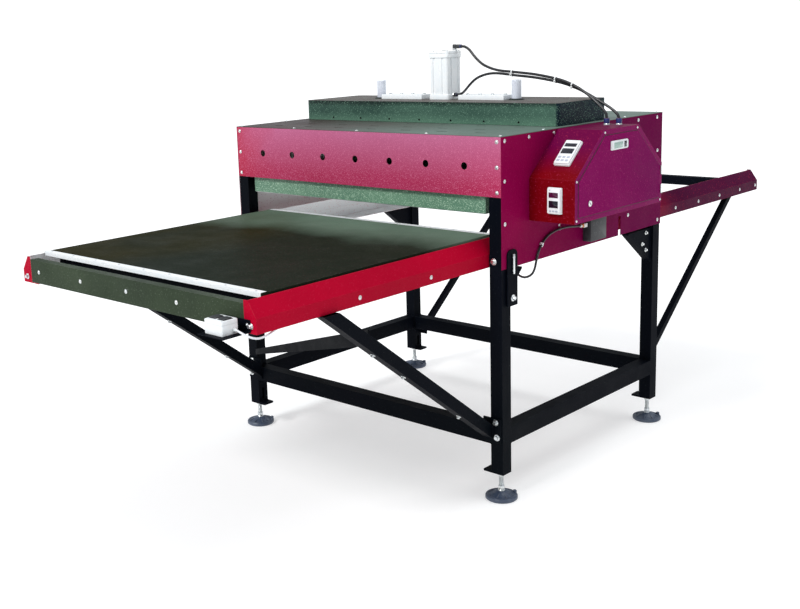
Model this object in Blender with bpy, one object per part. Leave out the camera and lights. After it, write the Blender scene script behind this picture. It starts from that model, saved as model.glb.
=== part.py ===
"""Large-format pneumatic heat press with a sliding lower table, built from its separate pieces.

Machine frame: X across the machine, -Y to the operator, Z up, in metres.
The assembly empty shifts everything so that the bounding box's bottom centre is the world origin.
"""
import bpy
import bmesh
import math
from mathutils import Matrix, Vector

for stale in list(bpy.data.objects):
    bpy.data.objects.remove(stale, do_unlink=True)

# ---------------------------------------------------------------- driving dimensions (metres)
GAP = 0.0003              # clearance between pieces that touch
SHIFT_X = 0.08005         # machine centre line to bounding box centre
SHIFT_Y = -0.0510

TUBE = 0.050              # square tube of the legs and base rails
WALL = 0.003              # tube wall
LEG_X = 0.628             # leg centre lines
LEG_Y = 0.525
LEG_FOOT_Z = 0.096        # underside of the ear plate
EAR_T = 0.008
EAR_REACH = 0.033
HEAD_TOP = 1.280          # top edge of the red covers
HEAD_LOW = 1.078          # lower edge of the front and rear covers
PANEL_LOW = 0.833         # lower edge of the side panels
SHEET = 0.002
BASE_LOW = 0.204          # base rails
BASE_TOP = 0.264

RAIL_HALF = 1.620         # half length of the side rails
RAIL_OUT = 0.598          # outer face of a side rail
RAIL_LOW = 0.835
RAIL_FOLD = 0.880
RAIL_TOP = 0.928
RAIL_LIP = 0.565          # upper edge of the sloping face
RAIL_RETURN = 0.548       # inner edge of the end returns
RAIL_TRACK = 0.505        # inner edge of the roller track
RAIL_T = 0.003

BRACE_FRONT = 0.040       # square tube of the front and rear braces
BRACE_REAR = 0.025
BRACE_X = 0.595           # centre lines of the front and rear braces
BRACE_REAR_X = 0.582
STAY_T = 0.008

TABLE_HALF = 0.556        # half width of the lower table
TABLE_FRONT = -1.557
TABLE_REAR = -0.462
TABLE_TOP = 0.935
TABLE_T = 0.015
FRAME_HALF = 0.500        # outer face of the table frame
FRAME_TUBE = 0.040
ROLLER_R = 0.020
ROLLER_W = 0.024
AXLE_R = 0.006
ROLLER_REACH = 0.440      # rollers ahead of and behind the table centre

PLATEN_X = 0.578          # half width of the platen housing
PLATEN_Y = 0.535
PLATEN_LOW = 1.015        # working face of the heating plate
PLATEN_TOP = 1.120
PLATEN_SKIN = 0.003
PLATE_T = 0.028

CROSS_X = 0.626           # crosshead beam
CROSS_Y = 0.171
CROSS_LOW = 1.2823
CROSS_TOP = 1.364
CROSS_WALL = 0.006        # top skin
CROSS_SIDE = 0.020        # side walls
CROSS_CORNER = 0.024
ROD_X = 0.340             # guide rods
ROD_R = 0.019
ROD_TOP = 1.440
BUSH_R = 0.030

CYL = 0.096               # square pneumatic cylinder
CYL_BORE = 0.040
CYL_TOP = 1.545
CYL_CAP_TOP = 1.557
PISTON_R = 0.0125
HOSE_R = 0.005

BOX_IN = 0.6557           # control box, inner and outer face
BOX_OUT = 0.8345
BOX_SKIN = 0.002
DOOR_INSET = 0.020
DOOR_T = 0.002

FOOT_R = 0.057            # levelling foot pad
SPINDLE_R = 0.008
SPINDLE_REACH = 0.070     # spindle length inside the leg
LOCKNUT_R = 0.013
LOCKNUT_H = 0.010
BUTTON_X = 0.024          # rectangular start buttons
BUTTON_Y = 0.030

# Side view of the control box, (y, z), going round from the lower front corner.
BOX_PROFILE = [
    (-0.390, 0.980),
    (0.206, 0.980),
    (0.206, 1.127),
    (0.030, 1.2797),
    (-0.210, 1.2797),
    (-0.390, 1.127),
]

# ---------------------------------------------------------------- scene organisation
parts = bpy.data.collections.new("heat_press")
cutters = bpy.data.collections.new("cutters")
bpy.context.scene.collection.children.link(parts)
bpy.context.scene.collection.children.link(cutters)

assembly = bpy.data.objects.new("assembly", None)
assembly.location = (-SHIFT_X, -SHIFT_Y, 0.0)
bpy.context.scene.collection.objects.link(assembly)

RED = (0.40, 0.012, 0.030)
BLACK = (0.012, 0.014, 0.016)
HAMMER = (0.030, 0.050, 0.042)
STEEL = (0.62, 0.63, 0.64)
ALLOY = (0.78, 0.80, 0.82)
WHITE = (0.85, 0.86, 0.88)
HOSE = (0.015, 0.015, 0.016)
PAD = (0.025, 0.030, 0.040)


def material(name, colour, metallic, roughness):
    mat = bpy.data.materials.new(name)
    mat.use_nodes = True
    shader = mat.node_tree.nodes["Principled BSDF"]
    shader.inputs["Base Color"].default_value = (colour[0], colour[1], colour[2], 1.0)
    shader.inputs["Metallic"].default_value = metallic
    shader.inputs["Roughness"].default_value = roughness
    return mat


FINISHES = {
    "red": (RED, 0.0, 0.40),
    "black": (BLACK, 0.0, 0.45),
    "hammer": (HAMMER, 0.0, 0.38),
    "steel": (STEEL, 1.0, 0.35),
    "alloy": (ALLOY, 1.0, 0.32),
    "white": (WHITE, 0.0, 0.40),
    "hose": (HOSE, 0.0, 0.40),
    "rubber": (PAD, 0.0, 0.60),
    "dark": (BLACK, 0.0, 0.35),
}


def place(obj, finish, location):
    colour, metallic, roughness = FINISHES[finish]
    obj.data.materials.append(material(obj.name, colour, metallic, roughness))
    parts.objects.link(obj)
    obj.parent = assembly
    obj.location = location
    return obj


def mesh_object(name, bm):
    bmesh.ops.recalc_face_normals(bm, faces=bm.faces)
    mesh = bpy.data.meshes.new(name)
    bm.to_mesh(mesh)
    bm.free()
    return bpy.data.objects.new(name, mesh)


def as_cutter(obj, location):
    cutters.objects.link(obj)
    obj.parent = assembly
    obj.location = location
    obj.hide_render = True
    obj.display_type = "WIRE"
    return obj


def boolean(obj, tool, operation):
    mod = obj.modifiers.new(operation.lower(), "BOOLEAN")
    mod.operation = operation
    mod.solver = "EXACT"
    mod.object = tool


def smooth(obj, angle=35.0):
    obj.data.shade_smooth()
    obj.data.set_sharp_from_angle(angle=math.radians(angle))


def box_mesh(name, size):
    bm = bmesh.new()
    bmesh.ops.create_cube(bm, size=1.0)
    bmesh.ops.scale(bm, vec=size, verts=bm.verts)
    return mesh_object(name, bm)


def middle(low, high):
    return [(low[i] + high[i]) / 2 for i in range(3)]


def span(low, high):
    return [high[i] - low[i] for i in range(3)]


def box(name, finish, low, high):
    return place(box_mesh(name, span(low, high)), finish, middle(low, high))


def box_cutter(name, low, high):
    return as_cutter(box_mesh(name, span(low, high)), middle(low, high))


def prism_mesh(name, axis, outline, start, stop):
    """Closed prism: the outline gives the two other axes in X, Y, Z order."""
    bm = bmesh.new()
    ends = []
    for value in (start, stop):
        ring = []
        for a, b in outline:
            point = [a, b]
            point.insert(axis, value)
            ring.append(bm.verts.new(point))
        ends.append(ring)
    count = len(outline)
    bm.faces.new(ends[0])
    bm.faces.new(ends[1])
    for i in range(count):
        j = (i + 1) % count
        bm.faces.new((ends[0][i], ends[0][j], ends[1][j], ends[1][i]))
    return mesh_object(name, bm)


def prism(name, finish, axis, outline, start, stop):
    return place(prism_mesh(name, axis, outline, start, stop), finish, (0.0, 0.0, 0.0))


def prism_cutter(name, axis, outline, start, stop):
    return as_cutter(prism_mesh(name, axis, outline, start, stop), (0.0, 0.0, 0.0))


def open_tube_mesh(name, outer_a, inner_a, outer_b, inner_b):
    """Four-sided tube, open at both ends, between two pairs of end rings."""
    bm = bmesh.new()
    rings = [[bm.verts.new(p) for p in ring] for ring in (outer_a, inner_a, outer_b, inner_b)]
    for i in range(4):
        j = (i + 1) % 4
        bm.faces.new((rings[0][i], rings[0][j], rings[1][j], rings[1][i]))
        bm.faces.new((rings[2][i], rings[2][j], rings[3][j], rings[3][i]))
        bm.faces.new((rings[0][i], rings[0][j], rings[2][j], rings[2][i]))
        bm.faces.new((rings[1][i], rings[1][j], rings[3][j], rings[3][i]))
    return mesh_object(name, bm)


def square_tube(name, finish, axis, low, high, wall=WALL):
    """Straight square tube along one axis, open at both ends."""
    size = span(low, high)
    others = [i for i in range(3) if i != axis]
    rings = []
    for end in (-0.5, 0.5):
        for inset in (0.0, wall):
            ring = []
            for sa, sb in ((-1, -1), (1, -1), (1, 1), (-1, 1)):
                point = [0.0, 0.0, 0.0]
                point[axis] = end * size[axis]
                point[others[0]] = sa * (size[others[0]] / 2 - inset)
                point[others[1]] = sb * (size[others[1]] / 2 - inset)
                ring.append(point)
            rings.append(ring)
    return place(open_tube_mesh(name, *rings), finish, middle(low, high))


def turned(name, finish, profile, location, axis="Z", segments=24):
    """Solid of revolution from (radius, height) pairs that start and end on the axis."""
    obj = place(turned_mesh(name, profile, segments), finish, location)
    if axis == "X":
        obj.rotation_euler = (0.0, math.pi / 2, 0.0)
    smooth(obj)
    return obj


def turned_mesh(name, profile, segments):
    bm = bmesh.new()
    rings = []
    for radius, height in profile:
        if radius < 1e-9:
            rings.append([bm.verts.new((0.0, 0.0, height))])
            continue
        ring = []
        for k in range(segments):
            turn = 2 * math.pi * k / segments
            ring.append(bm.verts.new((radius * math.cos(turn), radius * math.sin(turn), height)))
        rings.append(ring)
    closed = len(rings[0]) > 1
    pairs = list(zip(rings[:-1], rings[1:]))
    if closed:
        pairs.append((rings[-1], rings[0]))
    for low, high in pairs:
        for k in range(segments):
            n = (k + 1) % segments
            if len(low) == 1:
                bm.faces.new((low[0], high[n], high[k]))
            elif len(high) == 1:
                bm.faces.new((low[k], low[n], high[0]))
            else:
                bm.faces.new((low[k], low[n], high[n], high[k]))
    return mesh_object(name, bm)


def round_cutter(name, radius, depth, location, axis="Z", segments=24):
    profile = [(0.0, -depth / 2), (radius, -depth / 2), (radius, depth / 2), (0.0, depth / 2)]
    tool = as_cutter(turned_mesh(name, profile, segments), location)
    if axis == "Y":
        tool.rotation_euler = (math.pi / 2, 0.0, 0.0)
    if axis == "X":
        tool.rotation_euler = (0.0, math.pi / 2, 0.0)
    return tool


def upright_cutter(name, cylinders, segments=24):
    """One tool made of several upright cylinders: (radius, low z, high z, x)."""
    bm = bmesh.new()
    for radius, low, high, x in cylinders:
        made = bmesh.ops.create_cone(
            bm, cap_ends=True, segments=segments, radius1=radius, radius2=radius, depth=high - low)
        bmesh.ops.translate(bm, vec=(x, 0.0, (high + low) / 2), verts=made["verts"])
    return as_cutter(mesh_object(name, bm), (0.0, 0.0, 0.0))


def smooth_path(points, step):
    """Catmull-Rom path through the points, resampled to an even step."""
    knots = [Vector(p) for p in points]
    knots = [2 * knots[0] - knots[1]] + knots + [2 * knots[-1] - knots[-2]]
    dense = []
    for i in range(1, len(knots) - 2):
        a, b, c, d = knots[i - 1:i + 3]
        for k in range(24):
            t = k / 24
            dense.append(0.5 * (2 * b + (c - a) * t + (2 * a - 5 * b + 4 * c - d) * t ** 2
                                + (3 * b - a - 3 * c + d) * t ** 3))
    dense.append(knots[-2])
    total = sum((q - p).length for p, q in zip(dense[:-1], dense[1:]))
    count = max(2, round(total / step))
    wanted = [total * k / count for k in range(count + 1)]
    straight = 0.4 * step
    path = [dense[0], dense[0] + (knots[2] - knots[1]).normalized() * straight]
    walked = 0.0
    index = 1
    for p, q in zip(dense[:-1], dense[1:]):
        length = (q - p).length
        while index < count and walked + length >= wanted[index]:
            path.append(p.lerp(q, (wanted[index] - walked) / length))
            index += 1
        walked += length
    path.append(dense[-1] - (knots[-2] - knots[-3]).normalized() * straight)
    path.append(dense[-1])
    return path


def cord(name, finish, points, radius):
    """Round hose or lead with capped ends."""
    path = smooth_path(points, 5 * radius)
    curve = bpy.data.curves.new(name, "CURVE")
    curve.dimensions = "3D"
    curve.bevel_depth = radius
    curve.bevel_resolution = 2
    curve.use_fill_caps = True
    spline = curve.splines.new("POLY")
    spline.points.add(len(path) - 1)
    for node, point in zip(spline.points, path):
        node.co = (point.x, point.y, point.z, 1.0)
    return place(bpy.data.objects.new(name, curve), finish, (0.0, 0.0, 0.0))


# ---------------------------------------------------------------- legs, feet and base rails
LEG_IN = LEG_X - TUBE / 2
LEG_OUT = LEG_X + TUBE / 2
LEG_FRONT = LEG_Y + TUBE / 2
LEG_BACK = LEG_Y - TUBE / 2
GUSSETS = {"front": (0.085, 0.085), "rear": (0.180, 0.140)}   # reach and drop below the panel
GUSSET_HALF = 0.015
SPINDLE_SLOT = (0.012, 0.114, 0.164)   # width, low and high end, in the leg's inner face


def sided(x_sign, near, far):
    """Order two mirrored x values."""
    values = sorted((x_sign * near, x_sign * far))
    return values[0], values[1]


for side, sx in (("left", -1), ("right", 1)):
    for end, sy in (("front", -1), ("rear", 1)):
        name = f"leg_{end}_{side}"
        leg = square_tube(
            name, "black", 2,
            (sx * LEG_X - TUBE / 2, sy * LEG_Y - TUBE / 2, LEG_FOOT_Z + EAR_T / 2),
            (sx * LEG_X + TUBE / 2, sy * LEG_Y + TUBE / 2, HEAD_TOP - GAP),
        )
        x0, x1 = sided(sx, LEG_IN - EAR_REACH, LEG_OUT)
        ear = box_cutter(
            f"ear_{end}_{side}",
            (x0, sy * LEG_Y - TUBE / 2, LEG_FOOT_Z),
            (x1, sy * LEG_Y + TUBE / 2, LEG_FOOT_Z + EAR_T),
        )
        boolean(leg, ear, "UNION")
        x0, x1 = sided(sx, RAIL_OUT + GAP, LEG_IN + WALL / 2)
        packing = box_cutter(
            f"packing_{end}_{side}",
            (x0, sy * LEG_Y - 0.020, RAIL_LOW + 0.004),
            (x1, sy * LEG_Y + 0.020, RAIL_FOLD - 0.004),
        )
        boolean(leg, packing, "UNION")
        face = sy * LEG_BACK
        reach, drop = GUSSETS[end]
        corner = [
            (face + sy * WALL / 2, PANEL_LOW - 0.012),
            (face - sy * reach, PANEL_LOW - 0.012),
            (face - sy * reach, PANEL_LOW - 0.018),
            (face + sy * WALL / 2, PANEL_LOW - drop - 0.012),
        ]
        gusset = prism_cutter(
            f"gusset_{end}_{side}", 0, corner, sx * LEG_X - GUSSET_HALF, sx * LEG_X + GUSSET_HALF)
        boolean(leg, gusset, "UNION")
        spindle_hole = round_cutter(
            f"spindle_hole_{end}_{side}", SPINDLE_R + GAP, 0.05,
            (sx * LEG_X, sy * LEG_Y, LEG_FOOT_Z), segments=28)
        boolean(leg, spindle_hole, "DIFFERENCE")
        width, slot_low, slot_high = SPINDLE_SLOT
        x0, x1 = sided(sx, LEG_IN - WALL, LEG_IN + 2 * WALL)
        spindle_slot = box_cutter(
            f"spindle_slot_{end}_{side}",
            (x0, sy * LEG_Y - width / 2, slot_low), (x1, sy * LEG_Y + width / 2, slot_high))
        boolean(leg, spindle_slot, "DIFFERENCE")

        foot = [
            (0.0, 0.0),
            (FOOT_R - 0.004, 0.0),
            (FOOT_R, 0.004),
            (FOOT_R, 0.014),
            (FOOT_R - 0.008, 0.021),
            (0.022, 0.029),
            (0.013, 0.036),
            (0.012, 0.047),
            (SPINDLE_R, 0.049),
            (SPINDLE_R, LEG_FOOT_Z - LOCKNUT_H),
            (LOCKNUT_R, LEG_FOOT_Z - LOCKNUT_H),
            (LOCKNUT_R, LEG_FOOT_Z - GAP),
            (SPINDLE_R, LEG_FOOT_Z - GAP),
            (SPINDLE_R, LEG_FOOT_Z + SPINDLE_REACH),
            (0.0, LEG_FOOT_Z + SPINDLE_REACH),
        ]
        turned(f"foot_{end}_{side}", "rubber", foot, (sx * LEG_X, sy * LEG_Y, 0.0), segments=28)

for name, sy in (("base_rail_front", -1), ("base_rail_rear", 1)):
    square_tube(
        name, "black", 0,
        (-LEG_IN + GAP, sy * LEG_Y - TUBE / 2, BASE_LOW),
        (LEG_IN - GAP, sy * LEG_Y + TUBE / 2, BASE_TOP),
    )
for name, sx in (("base_rail_left", -1), ("base_rail_right", 1)):
    square_tube(
        name, "black", 1,
        (sx * LEG_X - TUBE / 2, -LEG_BACK + GAP, BASE_LOW),
        (sx * LEG_X + TUBE / 2, LEG_BACK - GAP, BASE_TOP),
    )

# ---------------------------------------------------------------- side rails and cross members
SLOPE = Vector((RAIL_LIP - RAIL_OUT, RAIL_TOP - RAIL_FOLD)).normalized()
INWARD = Vector((-SLOPE.y, SLOPE.x)) * RAIL_T
FOLD_IN_Z = RAIL_FOLD + INWARD.y + SLOPE.y * (RAIL_OUT - RAIL_T - RAIL_OUT - INWARD.x) / SLOPE.x
OVER = 0.004
LIP_IN_X = RAIL_LIP + INWARD.x + SLOPE.x * (OVER - INWARD.y) / SLOPE.y

for side, sx in (("left", -1), ("right", 1)):
    outline = [
        (sx * RAIL_TRACK, RAIL_LOW),
        (sx * RAIL_OUT, RAIL_LOW),
        (sx * RAIL_OUT, RAIL_FOLD),
        (sx * RAIL_LIP, RAIL_TOP),
        (sx * RAIL_RETURN, RAIL_TOP),
        (sx * RAIL_RETURN, RAIL_LOW + RAIL_T),
        (sx * RAIL_TRACK, RAIL_LOW + RAIL_T),
    ]
    rail = prism(f"side_rail_{side}", "red", 1, outline, -RAIL_HALF, RAIL_HALF)
    channel = [
        (sx * (RAIL_RETURN - 0.010), RAIL_LOW + RAIL_T),
        (sx * (RAIL_OUT - RAIL_T), RAIL_LOW + RAIL_T),
        (sx * (RAIL_OUT - RAIL_T), FOLD_IN_Z),
        (sx * LIP_IN_X, RAIL_TOP + OVER),
        (sx * (RAIL_RETURN - 0.010), RAIL_TOP + OVER),
    ]
    pocket = prism_cutter(
        f"rail_pocket_{side}", 1, channel, -RAIL_HALF + RAIL_T, RAIL_HALF - RAIL_T)
    boolean(rail, pocket, "DIFFERENCE")

FRONT_PANEL_TOP = 0.918
CROSS_SPAN = RAIL_RETURN - GAP
panel_outline = [
    (-RAIL_HALF, RAIL_LOW + RAIL_T + GAP),
    (-RAIL_HALF + RAIL_T, RAIL_LOW + RAIL_T + GAP),
    (-RAIL_HALF + RAIL_T, FRONT_PANEL_TOP - RAIL_T),
    (-RAIL_HALF + 0.030, FRONT_PANEL_TOP - RAIL_T),
    (-RAIL_HALF + 0.030, FRONT_PANEL_TOP),
    (-RAIL_HALF, FRONT_PANEL_TOP),
]
prism("front_cross_panel", "hammer", 0, panel_outline, -CROSS_SPAN, CROSS_SPAN)
REAR_BAR = 0.042
square_tube(
    "rear_cross_bar", "black", 0,
    (-CROSS_SPAN, RAIL_HALF - REAR_BAR, RAIL_LOW + RAIL_T + GAP),
    (CROSS_SPAN, RAIL_HALF, RAIL_LOW + RAIL_T + GAP + REAR_BAR),
)

# ---------------------------------------------------------------- diagonal braces and the stay
BRACE_TOP_Z = RAIL_LOW - GAP
BRACE_PLATE = 0.006


def brace(name, sx, sy, foot_z, head_y, width, centre_x):
    """Square tube from the leg face up to the rail underside, ends cut to both faces."""
    face = LEG_FRONT + GAP + BRACE_PLATE / 2
    run = head_y - face
    rise = BRACE_TOP_Z - foot_z
    length = math.hypot(run, rise)
    half = width / 2
    rings = []
    for inset in (0.0, WALL):
        upright = (half - inset) * length / run
        level = (half - inset) * length / rise
        for y0, z0, dy, dz in (
            (face, foot_z, 0.0, upright),
            (head_y, BRACE_TOP_Z, level, 0.0),
        ):
            ring = []
            for kx, kz in ((-1, -1), (1, -1), (1, 1), (-1, 1)):
                ring.append((
                    kx * (half - inset),
                    sy * (y0 - kz * dy),
                    z0 + kz * dz,
                ))
            rings.append(ring)
    low_out, high_out, low_in, high_in = rings
    obj = place(
        open_tube_mesh(name, low_out, low_in, high_out, high_in), "black",
        (sx * centre_x, 0.0, 0.0),
    )
    x0, x1 = sided(sx, centre_x - width / 2, LEG_OUT - 0.004)
    y0, y1 = sorted((sy * (LEG_FRONT + GAP), sy * (LEG_FRONT + GAP + BRACE_PLATE)))
    plate = box_cutter(f"{name}_plate", (x0, y0, foot_z - 0.036), (x1, y1, foot_z + 0.052))
    boolean(obj, plate, "UNION")
    return obj


for side, sx in (("left", -1), ("right", 1)):
    brace(f"brace_front_{side}", sx, -1, 0.250, 1.340, BRACE_FRONT, BRACE_X)
    brace(f"brace_rear_{side}", sx, 1, 0.205, 1.332, BRACE_REAR, BRACE_REAR_X)

# Flat stay from the front left leg to the head of the front right brace.
STAY_A = (-0.602, -LEG_FRONT - GAP - STAY_T, 0.330)
STAY_B = (0.570, -1.140, 0.715)
stay_mesh = bmesh.new()
stay_rings = []
for (sx0, sy0, sz0), half_height in ((STAY_A, 0.012), (STAY_B, 0.026)):
    stay_rings.append([
        stay_mesh.verts.new((sx0, sy0, sz0 - half_height)),
        stay_mesh.verts.new((sx0, sy0 + STAY_T, sz0 - half_height)),
        stay_mesh.verts.new((sx0, sy0 + STAY_T, sz0 + half_height)),
        stay_mesh.verts.new((sx0, sy0, sz0 + half_height)),
    ])
stay_mesh.faces.new(stay_rings[0])
stay_mesh.faces.new(stay_rings[1])
for i in range(4):
    j = (i + 1) % 4
    stay_mesh.faces.new((stay_rings[0][i], stay_rings[0][j], stay_rings[1][j], stay_rings[1][i]))
place(mesh_object("cross_stay", stay_mesh), "black", (0.0, 0.0, 0.0))

# ---------------------------------------------------------------- head covers
HEAD_HALF_Y = LEG_FRONT + GAP
COVER_FACE = HEAD_HALF_Y + SHEET
PANEL_IN = LEG_OUT + GAP

NOTCH_Y = 0.226
for side, sx in (("left", -1), ("right", 1)):
    x0, x1 = sided(sx, PANEL_IN, PANEL_IN + SHEET)
    panel = box(
        f"side_panel_{side}", "red",
        (x0, -COVER_FACE, PANEL_LOW), (x1, COVER_FACE, HEAD_TOP))
    notch = box_cutter(
        f"notch_{side}",
        (x0 - 0.01, NOTCH_Y - 0.009, PANEL_LOW - 0.02),
        (x1 + 0.01, NOTCH_Y + 0.009, 0.908),
    )
    boolean(panel, notch, "DIFFERENCE")

HOLE_COUNT = 7
HOLE_PITCH = 0.1675
HOLE_Z = 1.178
HOLE_R = 0.013
for name, sy in (("front_cover", -1), ("rear_cover", 1)):
    y0, y1 = sorted((sy * HEAD_HALF_Y, sy * COVER_FACE))
    cover = box(
        name, "red",
        (-PANEL_IN + GAP, y0, HEAD_LOW), (PANEL_IN - GAP, y1, HEAD_TOP))
    for i in range(HOLE_COUNT):
        x = (i - (HOLE_COUNT - 1) / 2) * HOLE_PITCH
        hole = round_cutter(
            f"{name}_hole_{i + 1}", HOLE_R, 0.02, (x, sy * COVER_FACE, HOLE_Z), axis="Y")
        boolean(cover, hole, "DIFFERENCE")

COVER_X = PANEL_IN + SHEET
top_cover = box(
    "top_cover", "hammer",
    (-COVER_X, -COVER_FACE, HEAD_TOP + GAP), (COVER_X, COVER_FACE, CROSS_LOW - GAP))
well = box_cutter(
    "top_well",
    (-CROSS_X + 0.040, -CROSS_Y + 0.020, HEAD_TOP - 0.01),
    (CROSS_X - 0.040, CROSS_Y - 0.020, CROSS_LOW + 0.01),
)
boolean(top_cover, well, "DIFFERENCE")
SLOT_HALF = 0.022
SLOT_W = 0.012
for row, (y, count) in enumerate(((-0.456, HOLE_COUNT), (-0.343, HOLE_COUNT - 1), (-0.220, HOLE_COUNT))):
    for i in range(count):
        x = (i - (count - 1) / 2) * HOLE_PITCH
        slot = box_cutter(
            f"top_slot_{row + 1}_{i + 1}",
            (x - SLOT_HALF, y - SLOT_W / 2, HEAD_TOP - 0.01),
            (x + SLOT_HALF, y + SLOT_W / 2, CROSS_LOW + 0.01))
        boolean(top_cover, slot, "DIFFERENCE")

BEAM_W = 0.080
BEAM_H = 0.060
for side, sx in (("left", -1), ("right", 1)):
    x0, x1 = sided(sx, LEG_OUT - BEAM_W, LEG_OUT)
    square_tube(
        f"side_beam_{side}", "black", 1,
        (x0, -LEG_BACK + GAP, HEAD_TOP - BEAM_H), (x1, LEG_BACK - GAP, HEAD_TOP - GAP),
        wall=0.004)

# ---------------------------------------------------------------- crosshead, cylinder and fittings


def rounded_outline(half_x, half_y, radius, steps):
    outline = []
    for cx, cy, start in (
        (half_x - radius, half_y - radius, 0.0),
        (-half_x + radius, half_y - radius, 90.0),
        (-half_x + radius, -half_y + radius, 180.0),
        (half_x - radius, -half_y + radius, 270.0),
    ):
        for k in range(steps + 1):
            turn = math.radians(start + 90.0 * k / steps)
            outline.append((cx + radius * math.cos(turn), cy + radius * math.sin(turn)))
    return outline


crosshead = prism(
    "crosshead", "hammer", 2, rounded_outline(CROSS_X, CROSS_Y, CROSS_CORNER, 8),
    CROSS_LOW, CROSS_TOP)
hollow = box_cutter(
    "crosshead_hollow",
    (-CROSS_X + CROSS_SIDE, -CROSS_Y + CROSS_SIDE, CROSS_LOW - 0.01),
    (CROSS_X - CROSS_SIDE, CROSS_Y - CROSS_SIDE, CROSS_TOP - CROSS_WALL))
boolean(crosshead, hollow, "DIFFERENCE")
DRAIN_COUNT = 7
DRAIN_PITCH = 0.155
drains_mesh = bmesh.new()
for i in range(DRAIN_COUNT):
    made = bmesh.ops.create_cone(
        drains_mesh, cap_ends=True, segments=12, radius1=0.004, radius2=0.004,
        depth=2 * CROSS_SIDE + 0.02)
    bmesh.ops.rotate(
        drains_mesh, matrix=Matrix.Rotation(math.pi / 2, 3, "X"), verts=made["verts"])
    bmesh.ops.translate(
        drains_mesh, vec=((i - (DRAIN_COUNT - 1) / 2) * DRAIN_PITCH, 0.0, 0.0), verts=made["verts"])
drains = as_cutter(
    mesh_object("crosshead_drains", drains_mesh), (0.0, -CROSS_Y, CROSS_LOW + 0.0113))
boolean(crosshead, drains, "DIFFERENCE")
boolean(crosshead, upright_cutter("bushes", [
    (BUSH_R, CROSS_TOP - 0.052, CROSS_TOP + 0.002, -ROD_X),
    (BUSH_R, CROSS_TOP - 0.052, CROSS_TOP + 0.002, ROD_X),
]), "UNION")
boolean(crosshead, upright_cutter("crosshead_bores", [
    (ROD_R + GAP, CROSS_LOW - 0.02, CROSS_TOP + 0.04, -ROD_X),
    (ROD_R + GAP, CROSS_LOW - 0.02, CROSS_TOP + 0.04, ROD_X),
    (PISTON_R + 0.004, CROSS_LOW - 0.02, CROSS_TOP + 0.04, 0.0),
]), "DIFFERENCE")
smooth(crosshead)

barrel = box(
    "cylinder_barrel", "alloy",
    (-CYL / 2, -CYL / 2, CROSS_TOP + GAP), (CYL / 2, CYL / 2, CYL_TOP))
cylinder_bore = round_cutter(
    "cylinder_bore", CYL_BORE, CYL_TOP - CROSS_TOP - 0.014,
    (0.0, 0.0, (CYL_TOP + CROSS_TOP + 0.014) / 2), segments=32)
boolean(barrel, cylinder_bore, "DIFFERENCE")
gland = round_cutter("cylinder_gland", PISTON_R + GAP, 0.06, (0.0, 0.0, CROSS_TOP))
boolean(barrel, gland, "DIFFERENCE")
cap_chamfer = 0.010
cap_outline = [
    (-CYL / 2 + cap_chamfer, -CYL / 2),
    (CYL / 2 - cap_chamfer, -CYL / 2),
    (CYL / 2, -CYL / 2 + cap_chamfer),
    (CYL / 2, CYL / 2 - cap_chamfer),
    (CYL / 2 - cap_chamfer, CYL / 2),
    (-CYL / 2 + cap_chamfer, CYL / 2),
    (-CYL / 2, CYL / 2 - cap_chamfer),
    (-CYL / 2, -CYL / 2 + cap_chamfer),
]
prism("cylinder_head", "alloy", 2, cap_outline, CYL_TOP + GAP, CYL_CAP_TOP)

ELBOW_R = 0.009
TOP_ELBOW = (0.036, 0.016)
turned(
    "air_elbow_top", "hose",
    [(0.0, 0.0), (ELBOW_R, 0.0), (ELBOW_R, 0.022), (0.0, 0.022)],
    (TOP_ELBOW[0], TOP_ELBOW[1], CYL_CAP_TOP + GAP), segments=12)
elbow_arm = round_cutter(
    "elbow_arm_top", 0.0075, 0.034, (TOP_ELBOW[0] + 0.017, TOP_ELBOW[1], CYL_CAP_TOP + 0.013),
    axis="X", segments=12)
boolean(bpy.data.objects["air_elbow_top"], elbow_arm, "UNION")
LOW_PORT_Z = CROSS_TOP + 0.018
turned(
    "air_elbow_bottom", "hose",
    [(0.0, 0.0), (ELBOW_R, 0.0), (ELBOW_R, 0.020), (0.0, 0.020)],
    (CYL / 2 + GAP, -0.012, LOW_PORT_Z), axis="X", segments=12)

HOSE_TOP_END = (0.742, -0.030)
HOSE_LOW_END = (0.780, -0.012)
FITTING_H = 0.024
cord("air_hose_top", "hose", [
    (TOP_ELBOW[0] + 0.034 + GAP, TOP_ELBOW[1], CYL_CAP_TOP + 0.013),
    (TOP_ELBOW[0] + 0.046, TOP_ELBOW[1], CYL_CAP_TOP + 0.013),
    (0.110, 0.013, 1.557),
    (0.146, 0.006, 1.525),
    (0.192, -0.002, 1.496),
    (0.257, -0.009, 1.477),
    (0.338, -0.012, 1.469),
    (0.436, -0.014, 1.459),
    (0.540, -0.017, 1.440),
    (0.606, -0.020, 1.417),
    (0.655, -0.024, 1.391),
    (0.695, -0.027, 1.362),
    (0.726, -0.029, 1.336),
    (0.739, -0.030, 1.320),
    (HOSE_TOP_END[0], HOSE_TOP_END[1], HEAD_TOP + FITTING_H + 0.008),
    (HOSE_TOP_END[0], HOSE_TOP_END[1], HEAD_TOP + FITTING_H + GAP),
], HOSE_R)
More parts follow.
